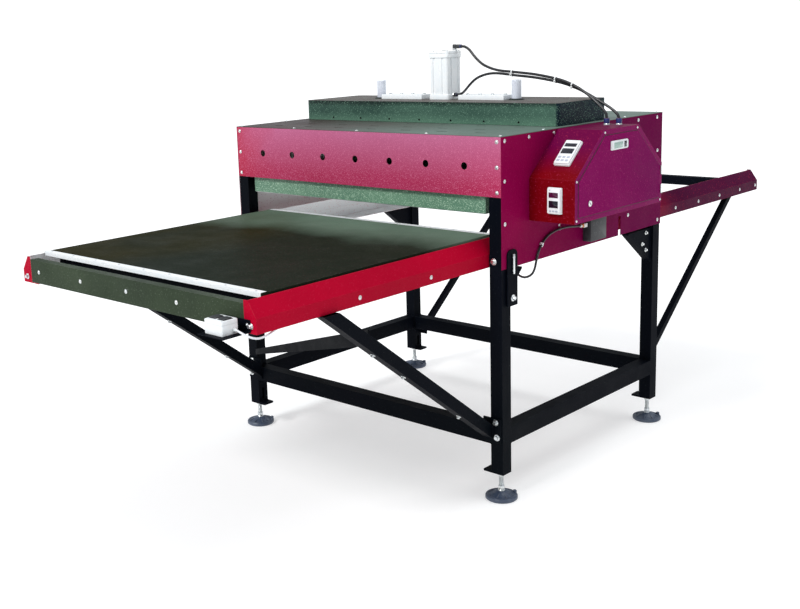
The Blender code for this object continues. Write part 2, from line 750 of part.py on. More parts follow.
cord("air_hose_bottom", "hose", [
    (CYL / 2 + 0.020 + 2 * GAP, -0.012, LOW_PORT_Z),
    (CYL / 2 + 0.030, -0.012, LOW_PORT_Z),
    (0.100, -0.012, 1.393),
    (0.130, -0.011, 1.422),
    (0.162, -0.010, 1.446),
    (0.207, -0.009, 1.461),
    (0.257, -0.008, 1.4645),
    (0.338, -0.008, 1.4565),
    (0.436, -0.008, 1.4465),
    (0.540, -0.008, 1.4285),
    (0.606, -0.007, 1.408),
    (0.655, -0.007, 1.386),
    (0.700, -0.008, 1.363),
    (0.738, -0.009, 1.3425),
    (0.764, -0.011, 1.326),
    (0.777, -0.012, 1.314),
    (HOSE_LOW_END[0], HOSE_LOW_END[1], HEAD_TOP + FITTING_H + 0.008),
    (HOSE_LOW_END[0], HOSE_LOW_END[1], HEAD_TOP + FITTING_H + GAP),
], HOSE_R)

# ---------------------------------------------------------------- control box


def inset_profile(profile, amount):
    """Move every edge of a convex outline inwards."""
    centre = Vector((0.0, 0.0))
    for point in profile:
        centre += Vector(point) / len(profile)
    lines = []
    for i in range(len(profile)):
        a = Vector(profile[i])
        b = Vector(profile[(i + 1) % len(profile)])
        direction = (b - a).normalized()
        normal = Vector((-direction.y, direction.x))
        if normal.dot(centre - a) < 0:
            normal = -normal
        lines.append((a + normal * amount, direction))
    result = []
    for i in range(len(lines)):
        p, u = lines[i - 1]
        q, v = lines[i]
        cross = u.x * v.y - u.y * v.x
        t = ((q.x - p.x) * v.y - (q.y - p.y) * v.x) / cross
        result.append((p.x + u.x * t, p.y + u.y * t))
    return result


control_box = prism("control_box", "red", 0, BOX_PROFILE, BOX_IN, BOX_OUT)
box_hollow = prism_cutter(
    "control_box_hollow", 0, inset_profile(BOX_PROFILE, BOX_SKIN),
    BOX_IN - 0.01, BOX_OUT - BOX_SKIN)
boolean(control_box, box_hollow, "DIFFERENCE")
door_opening = prism_cutter(
    "door_opening", 0, inset_profile(BOX_PROFILE, DOOR_INSET + 0.012),
    BOX_OUT - 0.01, BOX_OUT + 0.01)
boolean(control_box, door_opening, "DIFFERENCE")
door = prism(
    "control_door", "red", 0, inset_profile(BOX_PROFILE, DOOR_INSET),
    BOX_OUT + GAP, BOX_OUT + GAP + DOOR_T)

# Controllers: bezel outside the skin, body passing through a cut-out.
BEZEL_T = 0.014
BEZEL_LIP = 0.005
BODY_T = 0.060
front_a = Vector(BOX_PROFILE[5])
front_b = Vector(BOX_PROFILE[4])
slant = (front_b - front_a).normalized()
slant_turn = math.atan2(slant.y, slant.x)


def controller(name, finish, centre, along, across, turn):
    """Bezel and body; centre lies on the box skin, turn tips the face back from level."""
    anchor = bpy.data.objects.new(f"{name}_seat", None)
    bpy.context.scene.collection.objects.link(anchor)
    anchor.parent = assembly
    anchor.location = centre
    anchor.rotation_euler = (turn, 0.0, 0.0)
    obj = place(
        box_mesh(name, (across, along, BEZEL_T - GAP)), finish,
        (0.0, 0.0, (BEZEL_T + GAP) / 2))
    obj.parent = anchor
    narrow = across - 2 * BEZEL_LIP
    short = along - 2 * BEZEL_LIP
    body = as_cutter(
        box_mesh(f"{name}_body", (narrow, short, BODY_T)), (0.0, 0.0, (BEZEL_T - BODY_T) / 2))
    body.parent = anchor
    boolean(obj, body, "UNION")
    cutout = as_cutter(
        box_mesh(f"{name}_cutout", (narrow + 4 * GAP, short + 4 * GAP, 2 * BEZEL_T)),
        (0.0, 0.0, 0.0))
    cutout.parent = anchor
    return obj, cutout


upper_at = front_a + slant * 0.118
for name, centre, along, across, turn in (
    ("temperature_controller", (0.754, upper_at.x, upper_at.y), 0.112, 0.062, slant_turn),
    ("press_timer", (0.760, BOX_PROFILE[5][0], 1.056), 0.090, 0.054, math.pi / 2),
):
    unit, cutout = controller(name, "white", centre, along, across, turn)
    boolean(control_box, cutout, "DIFFERENCE")

COUNTER_X = BOX_OUT + GAP + DOOR_T
box(
    "counter_display", "white",
    (COUNTER_X + GAP, -0.168, 1.206), (COUNTER_X + GAP + 0.008, -0.056, 1.238))

for tag, (fx, fy) in (("top", HOSE_TOP_END), ("low", HOSE_LOW_END)):
    fitting = round_cutter(
        f"fitting_{tag}", 0.009, FITTING_H + BOX_SKIN / 2,
        (fx, fy, HEAD_TOP + (FITTING_H - BOX_SKIN / 2) / 2), segments=12)
    boolean(control_box, fitting, "UNION")

# ---------------------------------------------------------------- valve, leads and button box
VALVE_X = PANEL_IN + SHEET + GAP
VALVE = ((VALVE_X, -0.040, 0.852), (VALVE_X + 0.034, 0.068, 0.940))
valve = box("solenoid_valve", "dark", VALVE[0], VALVE[1])
coil = box_cutter(
    "valve_coil", (VALVE_X + 0.004, -0.010, 0.935), (VALVE_X + 0.030, 0.024, 0.966))
boolean(valve, coil, "UNION")

LEAD_R = 0.004
LEAD_X = PANEL_IN + SHEET + GAP + LEAD_R + 0.001
cord("control_lead", "hose", [
    (LEAD_X + 0.010, VALVE[0][1] - GAP, 0.916),
    (LEAD_X + 0.010, -0.060, 0.916),
    (LEAD_X + 0.010, -0.100, 0.918),
    (LEAD_X + 0.007, -0.160, 0.924),
    (LEAD_X + 0.004, -0.220, 0.924),
    (LEAD_X, -0.275, 0.912),
    (LEAD_X, -0.315, 0.890),
    (LEAD_X, -0.340, 0.862),
    (LEAD_X, -0.354, 0.832),
    (LEAD_X - 0.002, -0.362, 0.804),
    (LEAD_X - 0.012, -0.366, 0.784),
    (LEAD_X - 0.034, -0.368, 0.772),
    (LEAD_X - 0.058, -0.367, 0.773),
    (RAIL_OUT - 0.020, -0.364, 0.790),
    (RAIL_OUT - 0.029, -0.362, 0.812),
    (RAIL_OUT - 0.030, -0.362, RAIL_LOW - GAP),
], LEAD_R)

BRACKET_TOP = 0.8410
BRACKET_T = 0.0025
BUTTON_BOX = ((0.478, -1.706, BRACKET_TOP + GAP), (0.553, -1.646, 0.8830))
bracket_outline = [
    (-1.722, BRACKET_TOP - BRACKET_T),
    (-RAIL_HALF - GAP, BRACKET_TOP - BRACKET_T),
    (-RAIL_HALF - GAP, 0.874),
    (-RAIL_HALF - GAP - BRACKET_T, 0.874),
    (-RAIL_HALF - GAP - BRACKET_T, BRACKET_TOP),
    (-1.722, BRACKET_TOP),
]
prism("button_bracket", "black", 0, bracket_outline, 0.468, 0.574)
button_box = box("button_box", "white", BUTTON_BOX[0], BUTTON_BOX[1])
BUTTON_MID = -1.676
BUTTON_DEEP = 0.014       # pocket below the lid
BUTTON_TAIL = 0.008       # button body below the lid
BUTTON_HIGH = 0.004       # button head above the lid
BUTTON_CLEAR = 0.0006
LID_Z = BUTTON_BOX[1][2]
for side, x in (("left", 0.4975), ("right", 0.5335)):
    pocket = box_cutter(
        f"button_pocket_{side}",
        (x - BUTTON_X / 2 - BUTTON_CLEAR, BUTTON_MID - BUTTON_Y / 2 - BUTTON_CLEAR,
         LID_Z - BUTTON_DEEP),
        (x + BUTTON_X / 2 + BUTTON_CLEAR, BUTTON_MID + BUTTON_Y / 2 + BUTTON_CLEAR,
         LID_Z + BUTTON_DEEP))
    boolean(button_box, pocket, "DIFFERENCE")
    box(
        f"start_button_{side}", "dark",
        (x - BUTTON_X / 2, BUTTON_MID - BUTTON_Y / 2, LID_Z - BUTTON_TAIL),
        (x + BUTTON_X / 2, BUTTON_MID + BUTTON_Y / 2, LID_Z + BUTTON_HIGH))
cord("button_lead", "white", [
    (BUTTON_BOX[1][0] + GAP, -1.662, 0.852),
    (BUTTON_BOX[1][0] + 0.010, -1.662, 0.852),
    (0.576, -1.662, 0.849),
    (0.590, -1.655, 0.841),
    (0.602, -1.640, 0.832),
    (0.604, -1.615, 0.8265),
    (0.594, -1.575, 0.8260),
    (0.578, -1.540, 0.8265),
    (0.566, -1.510, 0.8270),
    (0.562, -1.500, RAIL_LOW - 0.006),
    (0.562, -1.500, RAIL_LOW - GAP),
], 0.003)

# ---------------------------------------------------------------- platen, guide rods and piston
housing = box(
    "platen_housing", "hammer",
    (-PLATEN_X, -PLATEN_Y, PLATEN_LOW + 0.002), (PLATEN_X, PLATEN_Y, PLATEN_TOP))
housing_hollow = box_cutter(
    "housing_hollow",
    (-PLATEN_X + PLATEN_SKIN, -PLATEN_Y + PLATEN_SKIN, PLATEN_LOW - 0.02),
    (PLATEN_X - PLATEN_SKIN, PLATEN_Y - PLATEN_SKIN, PLATEN_TOP - 0.005),
)
boolean(housing, housing_hollow, "DIFFERENCE")
box(
    "heating_plate", "alloy",
    (-PLATEN_X + PLATEN_SKIN + GAP, -PLATEN_Y + PLATEN_SKIN + GAP, PLATEN_LOW),
    (PLATEN_X - PLATEN_SKIN - GAP, PLATEN_Y - PLATEN_SKIN - GAP, PLATEN_LOW + PLATE_T),
)
BEAM_TOP = 1.200
square_tube(
    "platen_beam", "black", 0,
    (-0.480, -0.060, PLATEN_TOP + GAP), (0.480, 0.060, BEAM_TOP), wall=0.006)
for side, sx in (("left", -1), ("right", 1)):
    chamfer = 0.003
    turned(
        f"guide_rod_{side}", "steel",
        [
            (0.0, BEAM_TOP + GAP),
            (ROD_R, BEAM_TOP + GAP),
            (ROD_R, ROD_TOP - chamfer),
            (ROD_R - chamfer, ROD_TOP),
            (0.0, ROD_TOP),
        ],
        (sx * ROD_X, 0.0, 0.0), segments=24)
PISTON_TOP = 1.530
turned(
    "piston_rod", "steel",
    [
        (0.0, BEAM_TOP + GAP),
        (PISTON_R, BEAM_TOP + GAP),
        (PISTON_R, PISTON_TOP - 0.024),
        (CYL_BORE - GAP, PISTON_TOP - 0.024),
        (CYL_BORE - GAP, PISTON_TOP),
        (0.0, PISTON_TOP),
    ],
    (0.0, 0.0, 0.0), segments=32)

# ---------------------------------------------------------------- lower table on rollers
box(
    "table_plate", "hammer",
    (-TABLE_HALF, TABLE_FRONT, TABLE_TOP - TABLE_T), (TABLE_HALF, TABLE_REAR, TABLE_TOP))
FRAME_TOP = TABLE_TOP - TABLE_T - GAP
FRAME_LOW = FRAME_TOP - FRAME_TUBE
FRAME_FRONT = TABLE_FRONT + 0.024
FRAME_REAR = TABLE_REAR - 0.024
table_frame = box(
    "table_frame", "black",
    (-FRAME_HALF, FRAME_FRONT, FRAME_LOW), (FRAME_HALF, FRAME_REAR, FRAME_TOP))
BAYS = 3
bay = (FRAME_REAR - FRAME_FRONT - (BAYS + 1) * FRAME_TUBE) / BAYS
for i in range(BAYS):
    y0 = FRAME_FRONT + FRAME_TUBE + i * (bay + FRAME_TUBE)
    opening = box_cutter(
        f"bay_{i + 1}",
        (-FRAME_HALF + FRAME_TUBE, y0, FRAME_LOW - 0.01),
        (FRAME_HALF - FRAME_TUBE, y0 + bay, FRAME_TOP + 0.01),
    )
    boolean(table_frame, opening, "DIFFERENCE")
ROLLER_Z = RAIL_LOW + RAIL_T + GAP + ROLLER_R
TABLE_MID = (TABLE_FRONT + TABLE_REAR) / 2
ROLLER_IN = FRAME_HALF + 0.012
for side, sx in (("left", -1), ("right", 1)):
    for end, sy in (("front", -1), ("rear", 1)):
        y = TABLE_MID + sy * ROLLER_REACH
        x0, x1 = sided(sx, FRAME_HALF - 0.012, FRAME_HALF)
        hanger = box_cutter(
            f"hanger_{end}_{side}", (x0, y - 0.022, ROLLER_Z - 0.014), (x1, y + 0.022, FRAME_LOW + 0.02))
        boolean(table_frame, hanger, "UNION")
        axle = round_cutter(
            f"axle_{end}_{side}", AXLE_R, 0.054,
            (sx * (FRAME_HALF + 0.017), y, ROLLER_Z), axis="X", segments=16)
        boolean(table_frame, axle, "UNION")
        chamfer = 0.002
        bore = AXLE_R + 0.0004
        half = ROLLER_W / 2
        turned(
            f"roller_{end}_{side}", "steel",
            [
                (bore, -half),
                (ROLLER_R - chamfer, -half),
                (ROLLER_R, -half + chamfer),
                (ROLLER_R, half - chamfer),
                (ROLLER_R - chamfer, half),
                (bore, half),
            ],
            (sx * (ROLLER_IN + half), y, ROLLER_Z), axis="X", segments=24)
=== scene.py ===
"""Looks of the large-format pneumatic heat press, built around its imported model.

Places are given in the machine's own frame, whose origin lies on the floor midway between the
four legs: X across the machine, -Y to the operator, Z up. at() turns them into scene places.
"""
from math import cos, hypot, pi, radians, sin, sqrt, tau

import bmesh
import bpy
from mathutils import Matrix, Vector


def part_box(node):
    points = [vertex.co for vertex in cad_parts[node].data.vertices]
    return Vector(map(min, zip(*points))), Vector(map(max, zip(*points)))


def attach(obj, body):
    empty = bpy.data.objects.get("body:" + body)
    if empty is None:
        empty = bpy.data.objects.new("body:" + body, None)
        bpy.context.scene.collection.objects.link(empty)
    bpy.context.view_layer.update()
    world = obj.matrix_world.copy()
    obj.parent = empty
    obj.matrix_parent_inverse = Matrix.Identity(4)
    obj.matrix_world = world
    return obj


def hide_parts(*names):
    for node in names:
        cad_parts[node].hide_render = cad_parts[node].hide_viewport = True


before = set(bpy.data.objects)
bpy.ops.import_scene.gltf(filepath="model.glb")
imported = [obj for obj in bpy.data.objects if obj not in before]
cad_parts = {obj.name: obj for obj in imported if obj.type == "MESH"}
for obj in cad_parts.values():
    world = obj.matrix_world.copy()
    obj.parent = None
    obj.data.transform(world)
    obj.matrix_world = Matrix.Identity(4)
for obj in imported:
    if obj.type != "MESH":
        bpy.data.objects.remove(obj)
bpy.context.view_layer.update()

# ---------------- machine frame
SIDES = (("left", -1), ("right", 1))
ENDS = (("front", -1), ("rear", 1))
CORNERS = [(sx, sy) for sx in (-1, 1) for sy in (-1, 1)]


def pair(kind):
    return tuple(f"{kind}_{side}" for side, _ in SIDES)


def four(kind):
    return pair(f"{kind}_front") + pair(f"{kind}_rear")


LEGS = four("leg")
leg_low = Vector([min(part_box(leg)[0][i] for leg in LEGS) for i in range(3)])
leg_high = Vector([max(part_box(leg)[1][i] for leg in LEGS) for i in range(3)])
ORIGIN = Vector(((leg_low.x + leg_high.x) / 2, (leg_low.y + leg_high.y) / 2, 0.0))


def at(x, y, z):
    return ORIGIN + Vector((x, y, z))


def box_of(node):
    """A node's lowest and highest corners in the machine frame."""
    low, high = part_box(node)
    return Vector(low) - ORIGIN, Vector(high) - ORIGIN


def middle_and_half(node):
    low, high = box_of(node)
    return (low + high) / 2, (high - low) / 2


def new_object(name, data):
    obj = bpy.data.objects.new(name, data)
    bpy.context.scene.collection.objects.link(obj)
    return obj


RIGHT, LEFT = Vector((1, 0, 0)), Vector((-1, 0, 0))
BACK, FRONT = Vector((0, 1, 0)), Vector((0, -1, 0))
UP, DOWN = Vector((0, 0, 1)), Vector((0, 0, -1))
SKIN = 0.0003  # gap between touching solids

# ---------------- camera
CAMERA_AT = (2.7627, -3.5594, 1.6203)
CAMERA_YAW = 0.787
CAMERA_PITCH = -0.196
CAMERA_ROLL = -0.0409
LENS_MM = 49.45
SHIFT = (0.1117, -0.0582)


def make_camera():
    level = Vector((cos(CAMERA_YAW), sin(CAMERA_YAW), 0.0))
    ahead = Vector((
        -sin(CAMERA_YAW) * cos(CAMERA_PITCH),
        cos(CAMERA_YAW) * cos(CAMERA_PITCH),
        sin(CAMERA_PITCH)))
    upright = level.cross(ahead)
    side = level * cos(CAMERA_ROLL) + upright * sin(CAMERA_ROLL)
    top = upright * cos(CAMERA_ROLL) - level * sin(CAMERA_ROLL)
    camera = new_object("camera", bpy.data.cameras.new("camera"))
    turn = Matrix((side, top, -ahead)).transposed()
    camera.matrix_world = Matrix.Translation(at(*CAMERA_AT)) @ turn.to_4x4()
    camera.data.lens = LENS_MM
    camera.data.shift_x, camera.data.shift_y = SHIFT
    camera.data.clip_end = 100.0
    bpy.context.scene.camera = camera


make_camera()

# ---------------- node-built materials


class Finish:
    """A Principled material whose colour, roughness and bump come from nodes."""

    def __init__(self, name):
        self.material = bpy.data.materials.new(name)
        self.material.use_nodes = True
        self.tree = self.material.node_tree
        self.shader = self.tree.nodes["Principled BSDF"]
        self.coordinates = self.tree.nodes.new("ShaderNodeTexCoord")
        self.place = self.coordinates.outputs["Object"]

    def add(self, kind, inputs, **settings):
        node = self.tree.nodes.new(kind)
        for key, value in settings.items():
            setattr(node, key, value)
        for key, value in inputs.items():
            self.feed(node.inputs[key], value)
        return node

    def feed(self, socket, value):
        if isinstance(value, bpy.types.NodeSocket):
            self.tree.links.new(value, socket)
        else:
            socket.default_value = value

    def stretched(self, scale):
        return self.add("ShaderNodeMapping", {"Vector": self.place, "Scale": scale}).outputs[0]

    def noise(self, scale, detail=3.0, rough=0.5, vector=None):
        node = self.add("ShaderNodeTexNoise", {
            "Vector": vector or self.place, "Scale": scale, "Detail": detail, "Roughness": rough})
        return node.outputs["Fac"]

    def cells(self, scale, output="Distance", feature="F1"):
        node = self.add("ShaderNodeTexVoronoi", {"Vector": self.place, "Scale": scale}, feature=feature)
        return node.outputs[output]

    def band(self, value, low, high, to_low=0.0, to_high=1.0):
        node = self.add("ShaderNodeMapRange", {
            "Value": value, "From Min": low, "From Max": high, "To Min": to_low, "To Max": to_high})
        return node.outputs["Result"]

    def maths(self, operation, a, b):
        return self.add("ShaderNodeMath", {0: a, 1: b}, operation=operation).outputs[0]

    def mix(self, factor, a, b):
        node = self.add("ShaderNodeMix", {"Factor": factor}, data_type="RGBA")
        for socket, value in zip([s for s in node.inputs if s.type == "RGBA"], (a, b)):
            self.feed(socket, value if isinstance(value, bpy.types.NodeSocket) else rgba(value))
        return [s for s in node.outputs if s.type == "RGBA"][0]

    def edges(self, radius):
        """Close to 1 on sharp outer edges, 0 on flat faces."""
        rounded = self.add("ShaderNodeBevel", {"Radius": radius}, samples=4).outputs[0]
        flat = self.add("ShaderNodeNewGeometry", {}).outputs["Normal"]
        facing = self.add(
            "ShaderNodeVectorMath", {0: rounded, 1: flat}, operation="DOT_PRODUCT").outputs["Value"]
        return self.band(facing, 0.995, 0.9), rounded

    def bump(self, height, distance, normal=None):
        inputs = {"Height": height, "Distance": distance}
        if normal is not None:
            inputs["Normal"] = normal
        return self.add("ShaderNodeBump", inputs).outputs[0]

    def glow(self, colour, strength):
        self.shader.inputs["Emission Color"].default_value = rgba(colour)
        self.shader.inputs["Emission Strength"].default_value = strength

    def surface(self, colour, roughness, normal, metallic=0.0, specular=0.5, coat=0.0):
        self.feed(self.shader.inputs["Base Color"], colour)
        self.feed(self.shader.inputs["Roughness"], roughness)
        self.feed(self.shader.inputs["Normal"], normal)
        self.shader.inputs["Metallic"].default_value = metallic
        self.shader.inputs["Specular IOR Level"].default_value = specular
        self.shader.inputs["Coat Weight"].default_value = coat
        self.shader.inputs["Coat Roughness"].default_value = 0.05
        return self.material


def rgba(colour):
    return (colour[0], colour[1], colour[2], 1.0)


def paint(name, colour, shade, fleck, wear, rough, specular, cell=0.005, depth=0.0005,
          fleck_share=0.04, fleck_size=0.0022, edge=0.0018, sweeps=(), sides=()):
    """Powder coat: broad tone changes, pebbled skin, bright flecks and rubbed edges.

    sweeps are (axis, start, end, colour, share): another colour coming in along the piece; several calls use
    them as painted shade, painted sheen and painted reflection.
    sides are (axis, sign, colour): another colour on the faces that look that way; some calls use them as
    painted shade on side faces, others for a bare inner face.
    """
    f = Finish(name)
    broad = f.noise(2.3, 4.0)
    patch = f.noise(14.0, 3.0)
    tone = f.mix(f.band(broad, 0.35, 0.68), colour, shade)
    tone = f.mix(f.band(patch, 0.5, 0.78, 0.0, 0.35), tone, shade)
    along = f.add("ShaderNodeSeparateXYZ", {"Vector": f.coordinates.outputs["Generated"]})
    for axis, start, end, new_colour, share in sweeps:
        reach = f.maths("ADD", along.outputs[axis], f.band(broad, 0.3, 0.7, -0.08, 0.08))
        tone = f.mix(f.band(reach, start, end, 0.0, share), tone, new_colour)
    turned = f.add("ShaderNodeSeparateXYZ", {"Vector": f.coordinates.outputs["Normal"]})
    for axis, sign, new_colour in sides:
        tone = f.mix(f.band(turned.outputs[axis], sign * 0.6, sign * 0.8), tone, new_colour)
    pick = f.cells(1.0 / fleck_size, "Color")
    split = f.add("ShaderNodeSeparateColor", {"Color": pick}).outputs[0]
    sparkle = f.band(split, 1.0 - fleck_share, 1.0, 0.0, 0.85)
    tone = f.mix(sparkle, tone, fleck)
    rubbed, rounded = f.edges(edge)
    worn = f.maths("MULTIPLY", rubbed, f.band(f.noise(38.0, 4.0, 0.65), 0.42, 0.7, 0.12, 0.9))
    tone = f.mix(worn, tone, wear)
    dull = f.band(f.noise(7.0, 5.0, 0.6), 0.3, 0.75, rough - 0.07, rough + 0.12)
    dull = f.maths("ADD", dull, f.maths("MULTIPLY", sparkle, -0.1))
    skin = f.bump(f.cells(1.0 / cell, feature="SMOOTH_F1"), depth, rounded)
    skin = f.bump(f.noise(900.0, 2.0), 0.00008, skin)
    return f.surface(tone, dull, skin, specular=specular)


def metal(name, colour, tint, rough, along=(1, 1, 1), grain=420.0):
    """Machined or plated metal: drawn grain, tint, smears and bright edges."""
    f = Finish(name)
    vector = f.stretched(along)
    lines = f.noise(grain, 4.0, 0.6, vector)
    smear = f.noise(24.0, 4.0, 0.6)
    tone = f.mix(f.band(smear, 0.35, 0.7), colour, tint)
    tone = f.mix(f.band(lines, 0.35, 0.75, 0.0, 0.3), tone, [c * 0.62 for c in colour])
    rubbed, rounded = f.edges(0.001)
    tone = f.mix(f.maths("MULTIPLY", rubbed, 0.6), tone, [min(1.0, c * 1.2) for c in colour])
    dull = f.band(lines, 0.25, 0.8, rough - 0.08, rough + 0.12)
    return f.surface(tone, dull, f.bump(lines, 0.00004, rounded), metallic=1.0)


def plastic(name, colour, tint, rough, grain=1500.0, depth=0.00005, specular=0.5):
    """Moulded plastic or rubber: fine spark-eroded grain, handling marks and softened edges."""
    f = Finish(name)
    marks = f.noise(30.0, 5.0, 0.62)
    tone = f.mix(f.band(marks, 0.42, 0.74, 0.0, 0.8), colour, tint)
    rubbed, rounded = f.edges(0.0014)
    tone = f.mix(f.maths("MULTIPLY", rubbed, 0.35), tone, [c * 0.6 + 0.3 for c in colour])
    skin = f.cells(grain)
    dull = f.band(marks, 0.3, 0.75, rough - 0.06, rough + 0.12)
    return f.surface(tone, dull, f.bump(skin, depth, rounded), specular=specular)


def window(name, colour, glow, strength):
    """Smoked display window with a faint lit matrix behind it."""
    f = Finish(name)
    matrix = f.cells(900.0)
    tone = f.mix(f.band(matrix, 0.1, 0.6), colour, [c * 0.5 for c in colour])
    f.glow(glow, strength)
    smears = f.noise(60.0, 3.0)
    return f.surface(tone, f.band(smears, 0.3, 0.7, 0.06, 0.22), f.bump(smears, 0.00003), coat=0.4)


BARE_SHEET = (0.84, 0.85, 0.86)
# Front cover: the upward sweep to pale pink is a painted sheen over the upper part; the sweep along X gives
# a deeper red at the left end.
RED_COVER = paint(
    "red_front_paint_painted_sheen", (0.4, 0.03, 0.095), (0.36, 0.022, 0.07), (0.72, 0.22, 0.38),
    (0.55, 0.08, 0.12), 0.46, specular=0.1, cell=0.0045, depth=0.0004, fleck_share=0.16,
    fleck_size=0.0015, sweeps=[
        (2, 0.15, 1.05, (0.52, 0.17, 0.32), 0.72),
        (0, 0.16, 0.02, (0.42, 0.01, 0.03), 0.85)])
# Side panels: the sweep along Y darkens the red towards the rear as painted shade.
PANEL_PAINT_AND_SHADE = dict(
    colour=(0.235, 0.0008, 0.052), shade=(0.19, 0.0006, 0.042), fleck=(0.34, 0.02, 0.1),
    wear=(0.36, 0.03, 0.09), rough=0.5, specular=0.02, cell=0.0045,
    sweeps=[(1, 0.05, 0.75, (0.12, 0.0004, 0.046), 1.0)])
RED_PANEL_RIGHT = paint("red_panel_paint_and_shade_right", sides=[(0, -1, BARE_SHEET)], **PANEL_PAINT_AND_SHADE)
RED_PANEL_LEFT = paint("red_panel_paint_and_shade_left", sides=[(0, 1, BARE_SHEET)], **PANEL_PAINT_AND_SHADE)
# Side rails: the sweep along Y turns the rear part dark purple-red as painted shade.
RAIL_PAINT_AND_SHADE = dict(
    colour=(0.42, 0.0012, 0.022), shade=(0.34, 0.001, 0.018), fleck=(0.52, 0.02, 0.06),
    wear=(0.56, 0.07, 0.1), rough=0.44, specular=0.03, cell=0.0055, depth=0.0004, fleck_share=0.03,
    sweeps=[(1, 0.42, 0.75, (0.06, 0.0005, 0.026), 1.0)])
RED_RAIL_RIGHT = paint("red_rail_paint_and_shade_right", sides=[(0, -1, BARE_SHEET)], **RAIL_PAINT_AND_SHADE)
RED_RAIL_LEFT = paint(
    "red_rail_paint_and_shade_left", sides=[(0, 1, BARE_SHEET), (2, 1, BARE_SHEET)], **RAIL_PAINT_AND_SHADE)
# Control box: the sweep darkens it towards the top as painted shade, and the right-facing faces get a
# purple-red tint as painted light on that side.
RED_BOX = paint(
    "red_box_paint_and_shade", (0.165, 0.0006, 0.004), (0.13, 0.0005, 0.004), (0.42, 0.03, 0.08),
    (0.46, 0.06, 0.11), 0.42, specular=0.04,
    sweeps=[(2, 0.45, 0.75, (0.115, 0.0005, 0.04), 1.0)], sides=[(0, 1, (0.19, 0.0006, 0.08))])
# Control door: the sweep along Y darkens it towards the rear as painted shade.
RED_DOOR = paint(
    "red_door_paint_and_shade", (0.22, 0.0008, 0.09), (0.18, 0.0006, 0.075), (0.42, 0.03, 0.16),
    (0.46, 0.06, 0.15), 0.44, specular=0.02,
    sweeps=[(1, 0.35, 0.95, (0.15, 0.0006, 0.07), 0.9)])
BLACK_FRAME = paint(
    "black_frame_paint", (0.0016, 0.0024, 0.0058), (0.0026, 0.004, 0.0062), (0.02, 0.026, 0.032),
    (0.03, 0.036, 0.042), 0.52, specular=0.03, cell=0.006, depth=0.0003, fleck_share=0.01)
# Crosshead: its bright green is partly painted light; the sweeps add a lighter green towards the bottom as
# painted light and a dark band along the top as painted shade, the right-facing end is painted dark teal as
# painted shade, and upward faces turn brownish grey.
HEAD_GREEN = paint(
    "crosshead_hammertone_painted_light", (0.08, 0.165, 0.12), (0.03, 0.068, 0.054), (0.2, 0.36, 0.26),
    (0.03, 0.05, 0.04), 0.42, specular=0.08, cell=0.0055, depth=0.0009, fleck_share=0.12, edge=0.003,
    sweeps=[(2, 0.45, 0.0, (0.13, 0.26, 0.18), 0.6), (2, 0.74, 0.95, (0.012, 0.022, 0.02), 0.9)],
    sides=[(0, 1, (0.004, 0.014, 0.023)), (2, 1, (0.1, 0.08, 0.075))])
# Platen skirt: its light green colour is a painted sheen on dark hammertone.
PLATEN_SHEEN_GREEN = paint(
    "platen_hammertone_painted_sheen", (0.15, 0.29, 0.19), (0.08, 0.18, 0.12), (0.6, 0.8, 0.6),
    (0.3, 0.38, 0.32), 0.34, specular=0.3, cell=0.0055, depth=0.0009, fleck_share=0.2)
# Top cover: the sweep along X turns the brownish paint green-grey towards the right as painted sheen.
TOP_GREEN = paint(
    "roof_hammertone_painted_sheen", (0.075, 0.052, 0.05), (0.05, 0.038, 0.036), (0.16, 0.14, 0.12),
    (0.12, 0.12, 0.11), 0.4, specular=0.1, cell=0.0055, depth=0.0008, fleck_share=0.06,
    sweeps=[(0, 0.2, 0.75, (0.13, 0.185, 0.16), 0.9)])
# Table plate: the sweep along Y gives the rear part a light olive green as painted reflection; the sweep
# along X turns it from brownish at the left end to darker green-black.
DARK_TABLE = paint(
    "table_hammertone_painted_reflection", (0.024, 0.02, 0.0035), (0.012, 0.014, 0.0055), (0.05, 0.06, 0.035),
    (0.1, 0.11, 0.09), 0.46, specular=0.012, fleck_share=0.03,
    sweeps=[(0, 0.05, 0.45, (0.01, 0.015, 0.01), 0.9), (1, 0.62, 1.0, (0.17, 0.25, 0.185), 0.85)])
PANEL_GREEN = paint(
    "front_panel_paint", (0.03, 0.046, 0.024), (0.018, 0.028, 0.016), (0.09, 0.12, 0.08),
    (0.12, 0.14, 0.11), 0.42, specular=0.08, fleck_share=0.05)
GROUND_STEEL = metal(
    "ground_steel", (0.66, 0.68, 0.7), (0.55, 0.58, 0.61), 0.26, along=(1, 1, 0.06))
ROLLER_STEEL = metal(
    "roller_steel", (0.58, 0.58, 0.57), (0.42, 0.41, 0.39), 0.3, along=(0.1, 1, 1))
SATIN_ALLOY = plastic(
    "satin_anodised_alloy", (0.93, 0.95, 0.96), (0.84, 0.9, 0.94), 0.3, grain=2200.0, specular=0.8)
